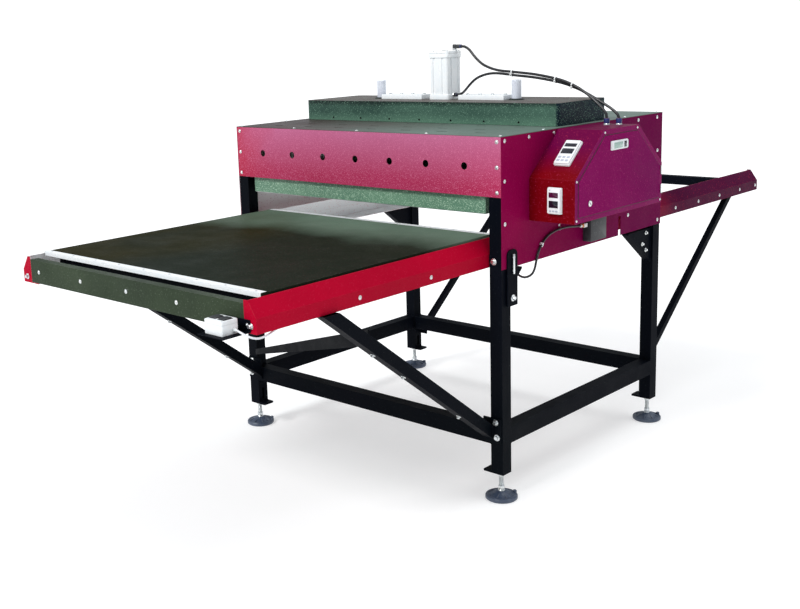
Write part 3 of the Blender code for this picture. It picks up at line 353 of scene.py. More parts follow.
# Guide rods: the pale bluish colour stands in for the chrome's reflection, a painted reflection.
ROD_STEEL = plastic(
    "chromed_rod_painted_reflection", (0.72, 0.76, 0.84), (0.62, 0.64, 0.74), 0.16, grain=3000.0, depth=0.00001,
    specular=1.0)
ZINC = metal("zinc_plate", (0.8, 0.82, 0.8), (0.66, 0.7, 0.74), 0.3, grain=700.0)
HOT_PLATE = metal(
    "heating_plate_face", (0.62, 0.63, 0.64), (0.48, 0.47, 0.45), 0.38, along=(0.05, 1, 1))
WHITE_PLASTIC = plastic("off_white_plastic", (0.8, 0.83, 0.85), (0.7, 0.72, 0.7), 0.42)
GREY_KEY = plastic("grey_key_plastic", (0.42, 0.46, 0.55), (0.33, 0.36, 0.44), 0.45)
BLACK_PLASTIC = plastic("black_plastic", (0.012, 0.014, 0.018), (0.03, 0.033, 0.036), 0.38)
BLACK_HOSE = plastic(
    "black_hose", (0.01, 0.01, 0.012), (0.026, 0.026, 0.03), 0.3, grain=2600.0, specular=0.45)
BLUE_PLASTIC = plastic("blue_fitting_plastic", (0.012, 0.02, 0.14), (0.02, 0.03, 0.1), 0.32)
WHITE_TIE = plastic("white_nylon", (0.82, 0.84, 0.84), (0.7, 0.71, 0.68), 0.4)
WHITE_LEAD = plastic("white_lead_sheath", (0.74, 0.76, 0.8), (0.58, 0.6, 0.62), 0.38)
ORANGE_PLASTIC = plastic("orange_plastic", (0.62, 0.2, 0.03), (0.46, 0.14, 0.03), 0.4)
FOOT_PLASTIC = plastic(
    "foot_pad_nylon", (0.04, 0.058, 0.1), (0.11, 0.135, 0.18), 0.4, grain=900.0)
DARK_WINDOW = window("dark_display", (0.008, 0.008, 0.02), (0.02, 0.02, 0.06), 0.02)
RED_WINDOW = window("red_display", (0.055, 0.004, 0.04), (0.35, 0.02, 0.1), 0.1)
PALE_WINDOW = window("pale_green_display", (0.46, 0.66, 0.58), (0.55, 0.75, 0.65), 0.05)
SHADOW_HOLE = plastic("dark_recess", (0.004, 0.004, 0.005), (0.008, 0.008, 0.009), 0.7)

# ---------------- materials of the CAD nodes
NODE_FINISH = {
    RED_COVER: ("front_cover", "rear_cover"),
    RED_PANEL_LEFT: ("side_panel_left",),
    RED_PANEL_RIGHT: ("side_panel_right",),
    RED_RAIL_LEFT: ("side_rail_left",),
    RED_RAIL_RIGHT: ("side_rail_right",),
    RED_BOX: ("control_box",),
    RED_DOOR: ("control_door",),
    BLACK_FRAME: LEGS + four("brace") + pair("base_rail") + pair("side_beam") + (
        "base_rail_front", "base_rail_rear", "cross_stay", "rear_cross_bar", "button_bracket",
        "platen_beam", "table_frame"),
    HEAD_GREEN: ("crosshead",),
    PLATEN_SHEEN_GREEN: ("platen_housing",),
    TOP_GREEN: ("top_cover",),
    DARK_TABLE: ("table_plate",),
    PANEL_GREEN: ("front_cross_panel",),
    ROD_STEEL: pair("guide_rod"),
    GROUND_STEEL: ("piston_rod",),
    HOT_PLATE: ("heating_plate",),
    ROLLER_STEEL: four("roller"),
}
for finish, nodes in NODE_FINISH.items():
    for node in nodes:
        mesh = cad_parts[node].data
        mesh.materials.clear()
        mesh.materials.append(finish)

# ---------------- mesh building


def facing(point, out, up=UP):
    """Local frame at a point: z runs out of the surface, y as near to up as it can."""
    z = Vector(out).normalized()
    x = Vector(up).cross(z)
    if x.length < 0.001:
        x = BACK.cross(z)
    x.normalize()
    turn = Matrix((x, z.cross(x), z)).transposed()
    return Matrix.Translation(point) @ turn.to_4x4()


def upward(x, y, z):
    """Local frame in the machine's own directions."""
    return facing(at(x, y, z), UP, BACK)


def shift(seat, x, y, z=0.0):
    return seat @ Matrix.Translation((x, y, z))


def piece(name, bm, materials, body="frame", smooth=30.0, bevel=0.0, replaces=()):
    """Make one object of a bmesh and let it ride on a body."""
    bmesh.ops.recalc_face_normals(bm, faces=bm.faces)
    mesh = bpy.data.meshes.new(name)
    bm.to_mesh(mesh)
    bm.free()
    for finish in materials:
        mesh.materials.append(finish)
    obj = new_object(name, mesh)
    mesh.shade_smooth()
    mesh.set_sharp_from_angle(angle=radians(smooth))
    if bevel:
        mod = obj.modifiers.new("soft_edges", "BEVEL")
        mod.width = bevel
        mod.segments = 2
        mod.limit_method = "ANGLE"
        mod.angle_limit = radians(40)
        mod.harden_normals = True
    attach(obj, body)
    if replaces:
        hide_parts(*replaces)


def paint_faces(faces, slot):
    for face in faces:
        face.material_index = slot


def add_block(bm, seat, size, centre=(0, 0, 0), slot=0):
    """Box in a local frame."""
    place = seat @ Matrix.Translation(centre) @ Matrix.Diagonal((*size, 1.0))
    made = bmesh.ops.create_cube(bm, size=1.0, matrix=place)
    paint_faces({f for v in made["verts"] for f in v.link_faces}, slot)


def add_rings(bm, rings, slot=0, close_ends=True, hoop=False):
    """Skin a list of point rings of equal length. A hoop joins the last ring to the first."""
    loops = [[bm.verts.new(p) for p in ring] for ring in rings]
    count = len(loops[0])
    faces = []
    for low, high in zip(loops, loops[1:] + loops[:1] if hoop else loops[1:]):
        for k in range(count):
            n = (k + 1) % count
            faces.append(bm.faces.new((low[k], low[n], high[n], high[k])))
    if close_ends and not hoop:
        faces.append(bm.faces.new(loops[0]))
        faces.append(bm.faces.new(loops[-1]))
    paint_faces(faces, slot)


def add_turned(bm, seat, profile, segments=24, slot=0):
    """Turned solid about local z from (radius, height) pairs."""
    turns = [tau * k / segments for k in range(segments)]
    add_rings(bm, [
        [seat @ Vector((radius * cos(turn), radius * sin(turn), height)) for turn in turns]
        for radius, height in profile], slot)


def add_prism(bm, seat, outline, low, high, slot=0):
    add_rings(bm, [[seat @ Vector((a, b, z)) for a, b in outline] for z in (low, high)], slot)


def rounded_rect(half_x, half_y, radius):
    points = []
    steps = 4
    for sx, sy, start in ((1, 1, 0), (-1, 1, 90), (-1, -1, 180), (1, -1, 270)):
        for k in range(steps + 1):
            turn = radians(start + 90 * k / steps)
            points.append((
                sx * (half_x - radius) + radius * cos(turn),
                sy * (half_y - radius) + radius * sin(turn)))
    return points


def add_slab(bm, seat, half_x, half_y, low, high, radius, edge, slot=0):
    """Rounded slab with a chamfered upper rim."""
    rings = []
    for inset, z in ((0.0, low), (0.0, high - edge), (edge * 0.3, high - edge * 0.3), (edge, high)):
        outline = rounded_rect(half_x - inset, half_y - inset, max(radius - inset, 0.0003))
        rings.append([seat @ Vector((a, b, z)) for a, b in outline])
    add_rings(bm, rings, slot)


def add_pan_screw(bm, seat, radius=0.0052, height=0.003, slot=0):
    """Domed head with a cross recess."""
    segments = 24
    rings = []
    for share in (1.0, 0.97, 0.8, 0.58, 0.5, 0.22, 0.04):
        ring = []
        for k in range(segments):
            turn = tau * k / segments
            z = height * sqrt(max(0.0, 1.0 - 0.92 * share * share))
            if share == 1.0:
                z = 0.0
            arm = k % 6 == 0
            if (arm and share <= 0.5) or share <= 0.06:
                z -= 0.55 * height
            ring.append(seat @ Vector((
                share * radius * cos(turn), share * radius * sin(turn), z)))
        rings.append(ring)
    add_rings(bm, rings, slot)


def add_hex(bm, seat, across, low, high, slot=0):
    """Hexagon head or nut with a turned chamfer."""
    corner = across / sqrt(3)
    segments = 24
    rings = []
    for z, reach in ((low, 10.0), (high - 0.12 * across, 10.0), (high, 0.47 * across), (high, 0.1 * across)):
        ring = []
        for k in range(segments):
            turn = tau * k / segments
            local = (turn % (pi / 3)) - pi / 6
            flat = min((across / 2) / cos(local), corner, reach)
            ring.append(seat @ Vector((flat * cos(turn), flat * sin(turn), z)))
        rings.append(ring)
    add_rings(bm, rings, slot)


def add_bolt(bm, seat, across, washer):
    """Washer, spring washer and hexagon head."""
    add_turned(bm, seat, [
        (0.2 * washer, 0.0), (washer, 0.0), (washer, 0.0012), (washer - 0.0004, 0.0016),
        (0.2 * washer, 0.0016)], 28)
    add_turned(bm, seat, [
        (0.1 * across, 0.0016), (0.56 * across, 0.0016), (0.56 * across, 0.0034),
        (0.1 * across, 0.0034)])
    add_hex(bm, seat, across, 0.0034, 0.0034 + 0.5 * across)


def screws(name, places, radius=0.0052, body="frame"):
    """A group of pan-head screws: (point, outward direction)."""
    bm = bmesh.new()
    for index, (point, out) in enumerate(places):
        spin = Matrix.Rotation(radians(37 * index), 4, "Z")
        add_turned(bm, facing(point, out), [
            (0.0008, 0.0), (radius * 1.35, 0.0), (radius * 1.35, 0.0006), (0.0008, 0.0006)], 24)
        add_pan_screw(bm, facing(point, out) @ shift(spin, 0, 0, 0.0006), radius)
    piece(name, bm, [ZINC], body)


def bolts(name, places, across=0.013):
    bm = bmesh.new()
    for index, (point, out) in enumerate(places):
        spin = Matrix.Rotation(radians(23 * index), 4, "Z")
        add_bolt(bm, facing(point, out) @ spin, across, 0.9 * across)
    piece(name, bm, [ZINC])


# ---------------- hoses and leads
HOSE_R = 0.005
LEAD_R = 0.004
ELBOW = box_of("air_elbow_top")
LOW_PORT = box_of("air_elbow_bottom")


def smooth_path(points, step):
    """Catmull-Rom path through the points, resampled to an even step."""
    knots = [Vector(p) for p in points]
    knots = [2 * knots[0] - knots[1]] + knots + [2 * knots[-1] - knots[-2]]
    dense = []
    for i in range(1, len(knots) - 2):
        a, b, c, d = knots[i - 1:i + 3]
        for k in range(24):
            t = k / 24
            dense.append(0.5 * (2 * b + (c - a) * t + (2 * a - 5 * b + 4 * c - d) * t ** 2
                                + (3 * b - a - 3 * c + d) * t ** 3))
    dense.append(knots[-2])
    total = sum((q - p).length for p, q in zip(dense[:-1], dense[1:]))
    count = max(2, round(total / step))
    path = [dense[0]]
    walked = 0.0
    for p, q in zip(dense[:-1], dense[1:]):
        length = (q - p).length
        while len(path) < count and walked + length >= total * len(path) / count:
            path.append(p.lerp(q, (total * len(path) / count - walked) / length))
        walked += length
    path.append(dense[-1])
    return path


def hose(name, points, radius, finish, replaces):
    """Round hose or lead held at both ends, as a curve along its own centre line."""
    path = [at(*p) for p in smooth_path(points, 3 * radius)]
    curve = bpy.data.curves.new(name, "CURVE")
    curve.dimensions = "3D"
    curve.bevel_depth = radius
    curve.bevel_resolution = 5
    curve.use_fill_caps = True
    spline = curve.splines.new("POLY")
    spline.points.add(len(path) - 1)
    for node, point in zip(spline.points, path):
        node.co = (*point, 1.0)
    spline.use_smooth = True
    curve.materials.append(finish)
    obj = new_object(name, curve)
    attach(obj, "frame")
    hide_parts(replaces)
    return path


TOP_HOSE_PATH = hose("air_hose_upper", [
    (0.0703, 0.016, 1.57), (0.082, 0.016, 1.57), (0.11, 0.013, 1.557),
    (0.146, 0.006, 1.525), (0.192, -0.002, 1.496), (0.257, -0.009, 1.477),
    (0.338, -0.012, 1.469), (0.436, -0.014, 1.459), (0.54, -0.017, 1.44),
    (0.606, -0.02, 1.417), (0.655, -0.024, 1.391), (0.695, -0.027, 1.362),
    (0.726, -0.029, 1.336), (0.739, -0.03, 1.32), (0.742, -0.03, 1.312),
    (0.742, -0.03, 1.3043),
], HOSE_R, BLACK_HOSE, "air_hose_top")
LOW_HOSE_PATH = hose("air_hose_lower", [
    (0.0686, -0.012, 1.382), (0.078, -0.012, 1.382), (0.1, -0.012, 1.393),
    (0.13, -0.011, 1.422), (0.162, -0.01, 1.446), (0.207, -0.009, 1.461),
    (0.257, -0.008, 1.4645), (0.338, -0.008, 1.4565), (0.436, -0.008, 1.4465),
    (0.54, -0.008, 1.4285), (0.606, -0.007, 1.408), (0.655, -0.007, 1.386),
    (0.7, -0.008, 1.363), (0.738, -0.009, 1.3425), (0.764, -0.011, 1.326),
    (0.777, -0.012, 1.314), (0.78, -0.012, 1.312), (0.78, -0.012, 1.3043),
], HOSE_R, BLACK_HOSE, "air_hose_bottom")
hose("valve_lead", [
    (0.6706, -0.0403, 0.916), (0.6706, -0.06, 0.916), (0.6706, -0.1, 0.918),
    (0.6676, -0.16, 0.924), (0.6646, -0.22, 0.924), (0.6606, -0.275, 0.912),
    (0.6606, -0.315, 0.89), (0.6606, -0.34, 0.862), (0.6606, -0.354, 0.832),
    (0.6586, -0.362, 0.804), (0.6486, -0.366, 0.784), (0.6266, -0.368, 0.772),
    (0.6026, -0.367, 0.773), (0.578, -0.364, 0.79), (0.569, -0.362, 0.812),
    (0.568, -0.362, 0.8347),
], LEAD_R, BLACK_HOSE, "control_lead")
hose("start_box_lead", [
    (0.5533, -1.662, 0.852), (0.563, -1.662, 0.852), (0.576, -1.662, 0.849),
    (0.59, -1.655, 0.841), (0.602, -1.64, 0.832), (0.604, -1.615, 0.8265),
    (0.594, -1.575, 0.826), (0.578, -1.54, 0.8265), (0.566, -1.51, 0.827),
    (0.562, -1.5, 0.829), (0.562, -1.5, 0.8347),
], 0.003, WHITE_LEAD, "button_lead")

# ---------------- screws on the covers
COVER_LOW, COVER_HIGH = box_of("front_cover")
REAR_FACE = box_of("rear_cover")[1].y
PANEL_HIGH = box_of("side_panel_right")[1]
HEAD_TOP = PANEL_HIGH.z
SCREW_IN = 0.016
cover_heights = (HEAD_TOP - SCREW_IN, (HEAD_TOP + COVER_LOW.z) / 2, COVER_LOW.z + SCREW_IN)
cover_sides = (COVER_LOW.x + SCREW_IN, COVER_HIGH.x - SCREW_IN)
screws("front_cover_screws", [
    (at(x, COVER_LOW.y, z), FRONT) for x in cover_sides for z in cover_heights])
screws("rear_cover_screws", [
    (at(x, REAR_FACE, z), BACK) for x in cover_sides for z in cover_heights])

PANEL_SCREWS = [
    (-0.533, 1.266), (-0.39, 1.267), (-0.236, 1.268), (0.062, 1.267), (0.359, 1.265), (0.508, 1.265),
    (-0.534, 1.132), (-0.533, 0.987), (0.516, 1.133), (0.526, 0.992), (0.528, 0.851), (0.29, 0.903),
]
for side, out in (("right", RIGHT), ("left", LEFT)):
    screws(f"side_panel_screws_{side}", [
        (at(out.x * PANEL_HIGH.x, y, z), out) for y, z in PANEL_SCREWS])

TOP_HIGH = box_of("top_cover")[1].z
screws("top_cover_screws", [
    (at(sx * 0.64, y, TOP_HIGH), UP) for sx in (-1, 1) for y in (-0.535, -0.28, 0.28, 0.535)]
    + [(at(x, sy * 0.538, TOP_HIGH), UP) for x in (-0.33, 0.0, 0.33) for sy in (-1, 1)])

# ---------------- rails and cross members
RAIL_LOW, RAIL_HIGH = box_of("side_rail_right")
RAIL_SCREW_Z = 0.858
screws("rail_screws", [
    (at(out.x * RAIL_HIGH.x, y, RAIL_SCREW_Z), out)
    for out in (RIGHT, LEFT) for y in (-1.2, -0.86, 0.799, 1.011, 1.219, 1.43, 1.598)])
bolts("rail_end_bolts", [
    (at(sx * 0.574, RAIL_LOW.y, 0.856), FRONT) for sx in (-1, 1)], across=0.011)
screws("cross_panel_screws", [
    (at(x, box_of("front_cross_panel")[0].y, 0.878), FRONT)
    for x in (-0.5, -0.25, 0.0, 0.25)])

# ---------------- legs, lugs and braces
LEG_FACE = -box_of("leg_front_right")[0].y
LUG_MID_Y = -0.498
LUG_HALF = 0.029
LUG_TOP = 0.896
LUG_FOOT = 0.7
LUG_T = 0.006
LUG_PIN_Z = 0.812
LUG_BOLT_Z = 0.728
LEG_BOLT_X = 0.62


def leg_lug(name, side):
    """Flat strap with a rounded head, bolted through the side panel into the leg."""
    bm = bmesh.new()
    x = side * (PANEL_HIGH.x + SKIN)
    out = RIGHT * side
    base = facing(at(x, LUG_MID_Y, 0), out)
    sign = 1 if base.col[0].y > 0 else -1
    radius = 0.02
    outline = [(-LUG_HALF, LUG_FOOT), (LUG_HALF, LUG_FOOT)]
    for start, cx in ((0, LUG_HALF - radius), (90, -LUG_HALF + radius)):
        for k in range(7):
            turn = radians(start + 15 * k)
            outline.append((cx + radius * cos(turn), LUG_TOP - radius + radius * sin(turn)))
    outline = [(sign * a, b) for a, b in outline]
    add_prism(bm, base, outline, 0.0, LUG_T)
    piece(name, bm, [BLACK_FRAME], bevel=0.0012)
    bm = bmesh.new()
    pin = facing(at(x + side * (LUG_T + 0.0044), LUG_MID_Y, LUG_PIN_Z), UP, out)
    add_turned(bm, pin, [
        (0.0005, 0.0), (0.0036, 0.0008), (0.004, 0.002), (0.004, 0.068), (0.0036, 0.0692),
        (0.0005, 0.07)], 20)
    for z in (0.012, 0.058):
        add_block(bm, pin, (0.012, 0.0036, 0.005), (0.0, 0.0, z))
    piece(f"{name}_pin", bm, [ZINC], bevel=0.0004)
    bolts(f"{name}_bolts", [(at(x + side * LUG_T, LUG_MID_Y, LUG_BOLT_Z), out)])


leg_lug("leg_lug_right", 1)
leg_lug("leg_lug_left", -1)
for end, sy in ENDS:
    bolts(f"leg_{end}_bolts", [
        (at(sx * LEG_BOLT_X, sy * LEG_FACE, RAIL_SCREW_Z), BACK * sy) for sx in (-1, 1)])

RAIL_UNDER = RAIL_LOW.z - SKIN
FOOT_PLATE = 0.006
# Centre line across the machine, foot height, head's distance and half width.
BRACES = {"front": (0.595, 0.25, 1.34, 0.02), "rear": (0.582, 0.205, 1.332, 0.0125)}


def brace_bolts(side_name, side, end_name, end):
    """Three bolts through the underside of a diagonal brace, and two in its foot plate."""
    centre_x, foot_z, head_y, half = BRACES[end_name]
    face = LEG_FACE + SKIN + FOOT_PLATE / 2
    run, rise = head_y - face, RAIL_UNDER - foot_z
    length = hypot(run, rise)
    along = Vector((0, end * run / length, rise / length))
    out = Vector((0, end * rise / length, -run / length))
    start = Vector((side * centre_x, end * face, foot_z)) + out * half
    bm = bmesh.new()
    for share in (0.2, 0.56, 0.74):
        place = at(*(start + along * length * share))
        add_bolt(bm, facing(place, out, along), 0.01, 0.009)
    plate_y = end * (LEG_FACE + SKIN + FOOT_PLATE)
    for x, z in ((0.627, foot_z + 0.038), (0.633, foot_z - 0.016)):
        add_bolt(bm, facing(at(side * x, plate_y, z), BACK * end), 0.013, 0.0115)
    piece(f"brace_bolts_{end_name}_{side_name}", bm, [ZINC])


for side_name, side in SIDES:
    for end_name, end in ENDS:
        brace_bolts(side_name, side, end_name, end)
bolts("rear_gusset_bolts", [
    (at(sx * 0.643, y, z), RIGHT * sx)
    for sx in (-1, 1) for y, z in ((0.458, 0.806), (0.43, 0.764), (0.458, 0.736))], across=0.009)

# Fillet welds where the base rails meet the legs.
bm = bmesh.new()
BASE_LOW, BASE_HIGH = box_of("base_rail_front")
for sx, sy in CORNERS:
    for z, lift in ((BASE_LOW.z, DOWN), (BASE_HIGH.z, UP)):
        for corner, across, inward in (
                (at(sx * 0.603, sy * 0.525, z), BACK, RIGHT * -sx),
                (at(sx * 0.628, sy * 0.5, z), RIGHT, BACK * -sy)):
            rings = []
            for k in range(13):
                centre = corner + across * ((k / 12 - 0.5) * 0.046)
                swell = 1.5 * (0.0028 + 0.0006 * sin(2.7 * k))
                rings.append([
                    centre + inward * (swell * cos(t)) + lift * (swell * sin(t))
                    for t in (0.05, 0.5, 1.05, 1.5, 3.6)])
            add_rings(bm, rings)
piece("base_welds", bm, [BLACK_FRAME], smooth=60)

# ---------------- levelling feet


def foot(end, side):
    """Moulded ribbed pad, ball neck, hexagon, threaded spindle and lock nut."""
    node = f"foot_{end}_{side}"
    middle, half_size = middle_and_half(node)
    radius = half_size.x
    top = middle.z + half_size.z
    centre = Matrix.Translation(at(middle.x, middle.y, 0.0))
    bm = bmesh.new()
    add_turned(bm, centre, [
        (0.004, 0.0), (radius - 0.004, 0.0), (radius, 0.0035), (radius, 0.012),
        (radius - 0.002, 0.015), (radius - 0.007, 0.0165), (0.046, 0.015), (0.04, 0.0165),
        (0.026, 0.024), (0.02, 0.028), (0.015, 0.03), (0.002, 0.03)], 48, 0)
    for k in range(8):
        turn = Matrix.Rotation(tau * (k + 0.3) / 8, 4, "Z")
        rings = []
        for r, half, z in ((0.017, 0.0022, 0.0275), (0.03, 0.0022, 0.024), (0.046, 0.002, 0.018)):
            rings.append([
                centre @ turn @ Vector(p) for p in (
                    (r, -half, 0.01), (r, half, 0.01), (r, half * 0.6, z), (r, -half * 0.6, z))])
        add_rings(bm, rings, 0)
    lug_turn = Matrix.Rotation(radians(55), 4, "Z")
    add_turned(bm, centre @ shift(lug_turn, radius - 0.0075, 0, 0.012), [
        (0.001, 0.0), (0.007, 0.0), (0.007, 0.01), (0.0055, 0.012), (0.001, 0.012)], 16, 0)
    add_turned(bm, centre, [
        (0.001, 0.029), (0.0125, 0.029), (0.0125, 0.032), (0.01, 0.036), (0.007, 0.039),
        (0.001, 0.039)], 24, 1)
    add_hex(bm, centre, 0.021, 0.038, 0.049, 1)
    thread = [(0.001, 0.049)]
    pitch = 0.002
    turns = int((top - 0.052) / pitch)
    for k in range(turns):
        z = 0.049 + k * pitch
        thread += [(0.0068, z), (0.0079, z + 0.45 * pitch), (0.0079, z + 0.55 * pitch)]
    thread += [(0.0068, top - 0.001), (0.0055, top - 0.0003), (0.001, top - 0.0003)]
    add_turned(bm, centre, thread, 16, 1)
    add_hex(bm, centre, 0.024, 0.0862, 0.0955, 1)
    piece(f"levelling_foot_{end}_{side}", bm, [FOOT_PLASTIC, ZINC], body=node, replaces=(node,))


for end, _ in ENDS:
    for side, _ in SIDES:
        foot(end, side)

# ---------------- pneumatic cylinder
BARREL_LOW, BARREL_HIGH = box_of("cylinder_barrel")
CAP_LOW, CAP_HIGH = box_of("cylinder_head")


def barrel_outline(half, groove, depth):
    """Square extrusion with rounded corners and two shallow grooves in each side."""
    points = []
    side = [
        (-half + 0.01, 0.0), (-groove - 0.005, 0.0), (-groove - 0.004, depth),
        (-groove + 0.004, depth), (-groove + 0.005, 0.0), (groove - 0.005, 0.0),
        (groove - 0.004, depth), (groove + 0.004, depth), (groove + 0.005, 0.0),
        (half - 0.01, 0.0), (half - 0.005, 0.0013), (half - 0.0013, 0.005)]
    for k in range(4):
        turn = Matrix.Rotation(pi / 2 * k, 2)
        for along, inset in side:
            points.append(tuple(turn @ Vector((along, -half + inset))))
    return points


def build_cylinder():
    half = (BARREL_HIGH.x - BARREL_LOW.x) / 2
    axis = Matrix.Translation(at(0, 0, 0))
    bm = bmesh.new()
    low, high = BARREL_LOW.z, BARREL_HIGH.z
    add_slab(bm, axis, half, half, low, low + 0.02, 0.01, 0.0012, 1)
    outline = barrel_outline(half - 0.0025, 0.022, 0.003)
    add_prism(bm, axis, outline, low + 0.02, high - 0.016, 0)
    add_slab(bm, axis, half, half, high - 0.016, high, 0.01, 0.0012, 1)
    piece("cylinder_body", bm, [SATIN_ALLOY, SATIN_ALLOY], smooth=25, replaces=("cylinder_barrel",))

    bm = bmesh.new()
    add_slab(bm, axis, half, half, CAP_LOW.z, CAP_HIGH.z - 0.003, 0.012, 0.0015, 0)
    for sx, sy in CORNERS:
        corner = upward(sx * (half - 0.013), sy * (half - 0.013), CAP_HIGH.z - 0.003)
        add_turned(bm, corner, [
            (0.0035, -0.002), (0.0062, -0.002), (0.0062, 0.0022), (0.0056, 0.0028),
            (0.0035, 0.0028)], 24, 1)
    piece("cylinder_top_cap", bm, [SATIN_ALLOY, ZINC], smooth=25, replaces=("cylinder_head",))


build_cylinder()


def elbow_fitting(name, base, out_axis, arm_axis, arm_length, height, node):
    """Push-in fitting: zinc hexagon, black body, blue release collar."""
    bm = bmesh.new()
    stem = facing(base, out_axis)
    add_hex(bm, stem, 0.016, 0.0, 0.006, 1)
    add_turned(bm, stem, [
        (0.001, 0.006), (0.0072, 0.006), (0.0078, 0.008), (0.0078, height - 0.003),
        (0.006, height), (0.001, height)], 24, 0)
    if arm_axis is not None:
        arm = facing(base + out_axis * 0.013, arm_axis)
        add_turned(bm, arm, [
            (0.001, 0.0), (0.0072, 0.0), (0.0076, 0.004), (0.0076, arm_length - 0.008),
            (0.0068, arm_length - 0.006), (0.001, arm_length - 0.006)], 24, 0)
        add_turned(bm, arm, [
            (0.0052, arm_length - 0.0065), (0.0074, arm_length - 0.0045),
            (0.0074, arm_length - 0.001), (0.0066, arm_length), (0.0052, arm_length)], 24, 2)
    else:
        add_turned(bm, stem, [
            (0.0052, height - 0.002), (0.007, height - 0.001), (0.007, height),
            (0.0052, height)], 24, 2)
    piece(name, bm, [BLACK_PLASTIC, ZINC, BLUE_PLASTIC], replaces=(node,))


elbow_fitting("push_in_elbow", at(0.036, 0.016, ELBOW[0].z), UP, RIGHT, 0.034, 0.0215, "air_elbow_top")
elbow_fitting(
    "push_in_stud", at(LOW_PORT[0].x, -0.012, 1.382), RIGHT, None, 0.0, 0.0195, "air_elbow_bottom")

# Hose collars on the control box roof.
HOSE_ENDS = ((0.742, -0.03), (0.78, -0.012))
bm = bmesh.new()
for x, y in HOSE_ENDS:
    seat = upward(x, y, HEAD_TOP)
    add_hex(bm, seat, 0.0215, 0.0, 0.006, 0)
    add_turned(bm, seat, [
        (0.0092, 0.006), (0.0102, 0.007), (0.0102, 0.021), (0.0092, 0.0236), (0.0056, 0.0238),
        (0.0056, 0.0232)], 24, 1)
piece("roof_hose_collars", bm, [ZINC, BLUE_PLASTIC])

# ---------------- cable ties on the hoses


def nearest(path, x):
    return min(range(len(path)), key=lambda i: abs((path[i] - ORIGIN).x - x))


for index, x in enumerate((0.33, 0.515, 0.59)):
    i, j = nearest(TOP_HOSE_PATH, x), nearest(LOW_HOSE_PATH, x)
    a, b = TOP_HOSE_PATH[i], LOW_HOSE_PATH[j]
    along = TOP_HOSE_PATH[i + 1] - TOP_HOSE_PATH[i - 1]
    across = b - a
    across -= along.normalized() * across.dot(along.normalized())
    seat = facing((a + b) / 2, along, across)
    gap = across.length / 2
    bm = bmesh.new()
    width = 0.0048
    rings = []
    for k in range(32):
        turn = tau * k / 32
        side = gap if sin(turn) >= 0 else -gap
        rings.append([
            seat @ Vector((reach * cos(turn), reach * sin(turn) + side, z)) for reach, z in (
                (0.0051, -width / 2), (0.0064, -width / 2), (0.0064, width / 2), (0.0051, width / 2))])
    add_rings(bm, rings, hoop=True)
    add_block(bm, seat, (0.0055, 0.007, 0.0065), (0.0085, 0.0, 0.0))
    add_block(bm, seat, (0.01, 0.0012, 0.0035), (0.015, 0.002, 0.0))
    piece(f"hose_tie_{index + 1}", bm, [WHITE_TIE], bevel=0.0003)

# ---------------- crosshead details
CROSS_HIGH = box_of("crosshead")[1]
CROSS_TOP = 1.364


def crosshead_bars():
    """Two flat bars that tie the cylinder foot to the guide bushes, with cap screws."""
    bm = bmesh.new()
    for sx in (-1, 1):
        seat = upward(sx * 0.2, 0.0, CROSS_TOP + SKIN)
        add_slab(bm, seat, 0.108, 0.04, 0.0, 0.018, 0.003, 0.0015, 0)
        for x in (-0.09, -0.03, 0.03, 0.09):
            head = shift(seat, x, 0, 0.0175)
            add_turned(bm, head, [
                (0.0028, -0.001), (0.0028, 0.0), (0.0065, 0.0), (0.0065, 0.005), (0.006, 0.0056),
                (0.0034, 0.0056), (0.0034, 0.002)], 24, 1)
    piece("crosshead_bars", bm, [SATIN_ALLOY, ZINC], smooth=25)


crosshead_bars()

# Wiper rings where the guide rods leave their bushes.
bm = bmesh.new()
for x in (-0.34, 0.34):
    seat = upward(x, 0, CROSS_HIGH.z)
    add_turned(bm, seat, [
        (0.0198, 0.0002), (0.027, 0.0002), (0.027, 0.002), (0.024, 0.0034), (0.0198, 0.0034)],
        40)
piece("guide_wipers", bm, [BLACK_PLASTIC])

# ---------------- control box
BOX_HIGH = box_of("control_box")[1]
DOOR_HIGH = box_of("control_door")[1]
SLANT_LOW = Vector((0.0, -0.39, 1.127))
SLANT_HIGH = Vector((0.0, -0.21, 1.2797))
SLANT = (SLANT_HIGH - SLANT_LOW).normalized()
SLANT_OUT = Vector((0.0, -SLANT.z, SLANT.y))


def meter(name, node, seat, along, across, windows, keys, depth=0.0137):
    """Panel meter: stepped bezel, sunk windows and a row of keys."""
    bm = bmesh.new()
    add_slab(bm, seat, across / 2, along / 2, SKIN, depth * 0.55, 0.004, 0.001, 0)
    add_slab(bm, seat, across / 2 - 0.0025, along / 2 - 0.0025, depth * 0.5, depth, 0.003, 0.0012, 0)
    sunk = depth - 0.001
    for x, y, w, h, slot in windows:
        spot = shift(seat, x, y)
        add_slab(bm, spot, w / 2 + 0.0016, h / 2 + 0.0016, sunk, depth + 0.0005, 0.0018, 0.0004, 0)
        add_slab(bm, spot, w / 2, h / 2, sunk, depth + 0.0007, 0.001, 0.0003, slot)
    for x, y, w, h in keys:
        add_slab(
            bm, shift(seat, x, y), w / 2, h / 2, sunk, depth + 0.0012, 0.0016, 0.0006, 1)
    piece(name, bm, [WHITE_PLASTIC, GREY_KEY, DARK_WINDOW, RED_WINDOW, PALE_WINDOW],
          smooth=35, replaces=(node,))


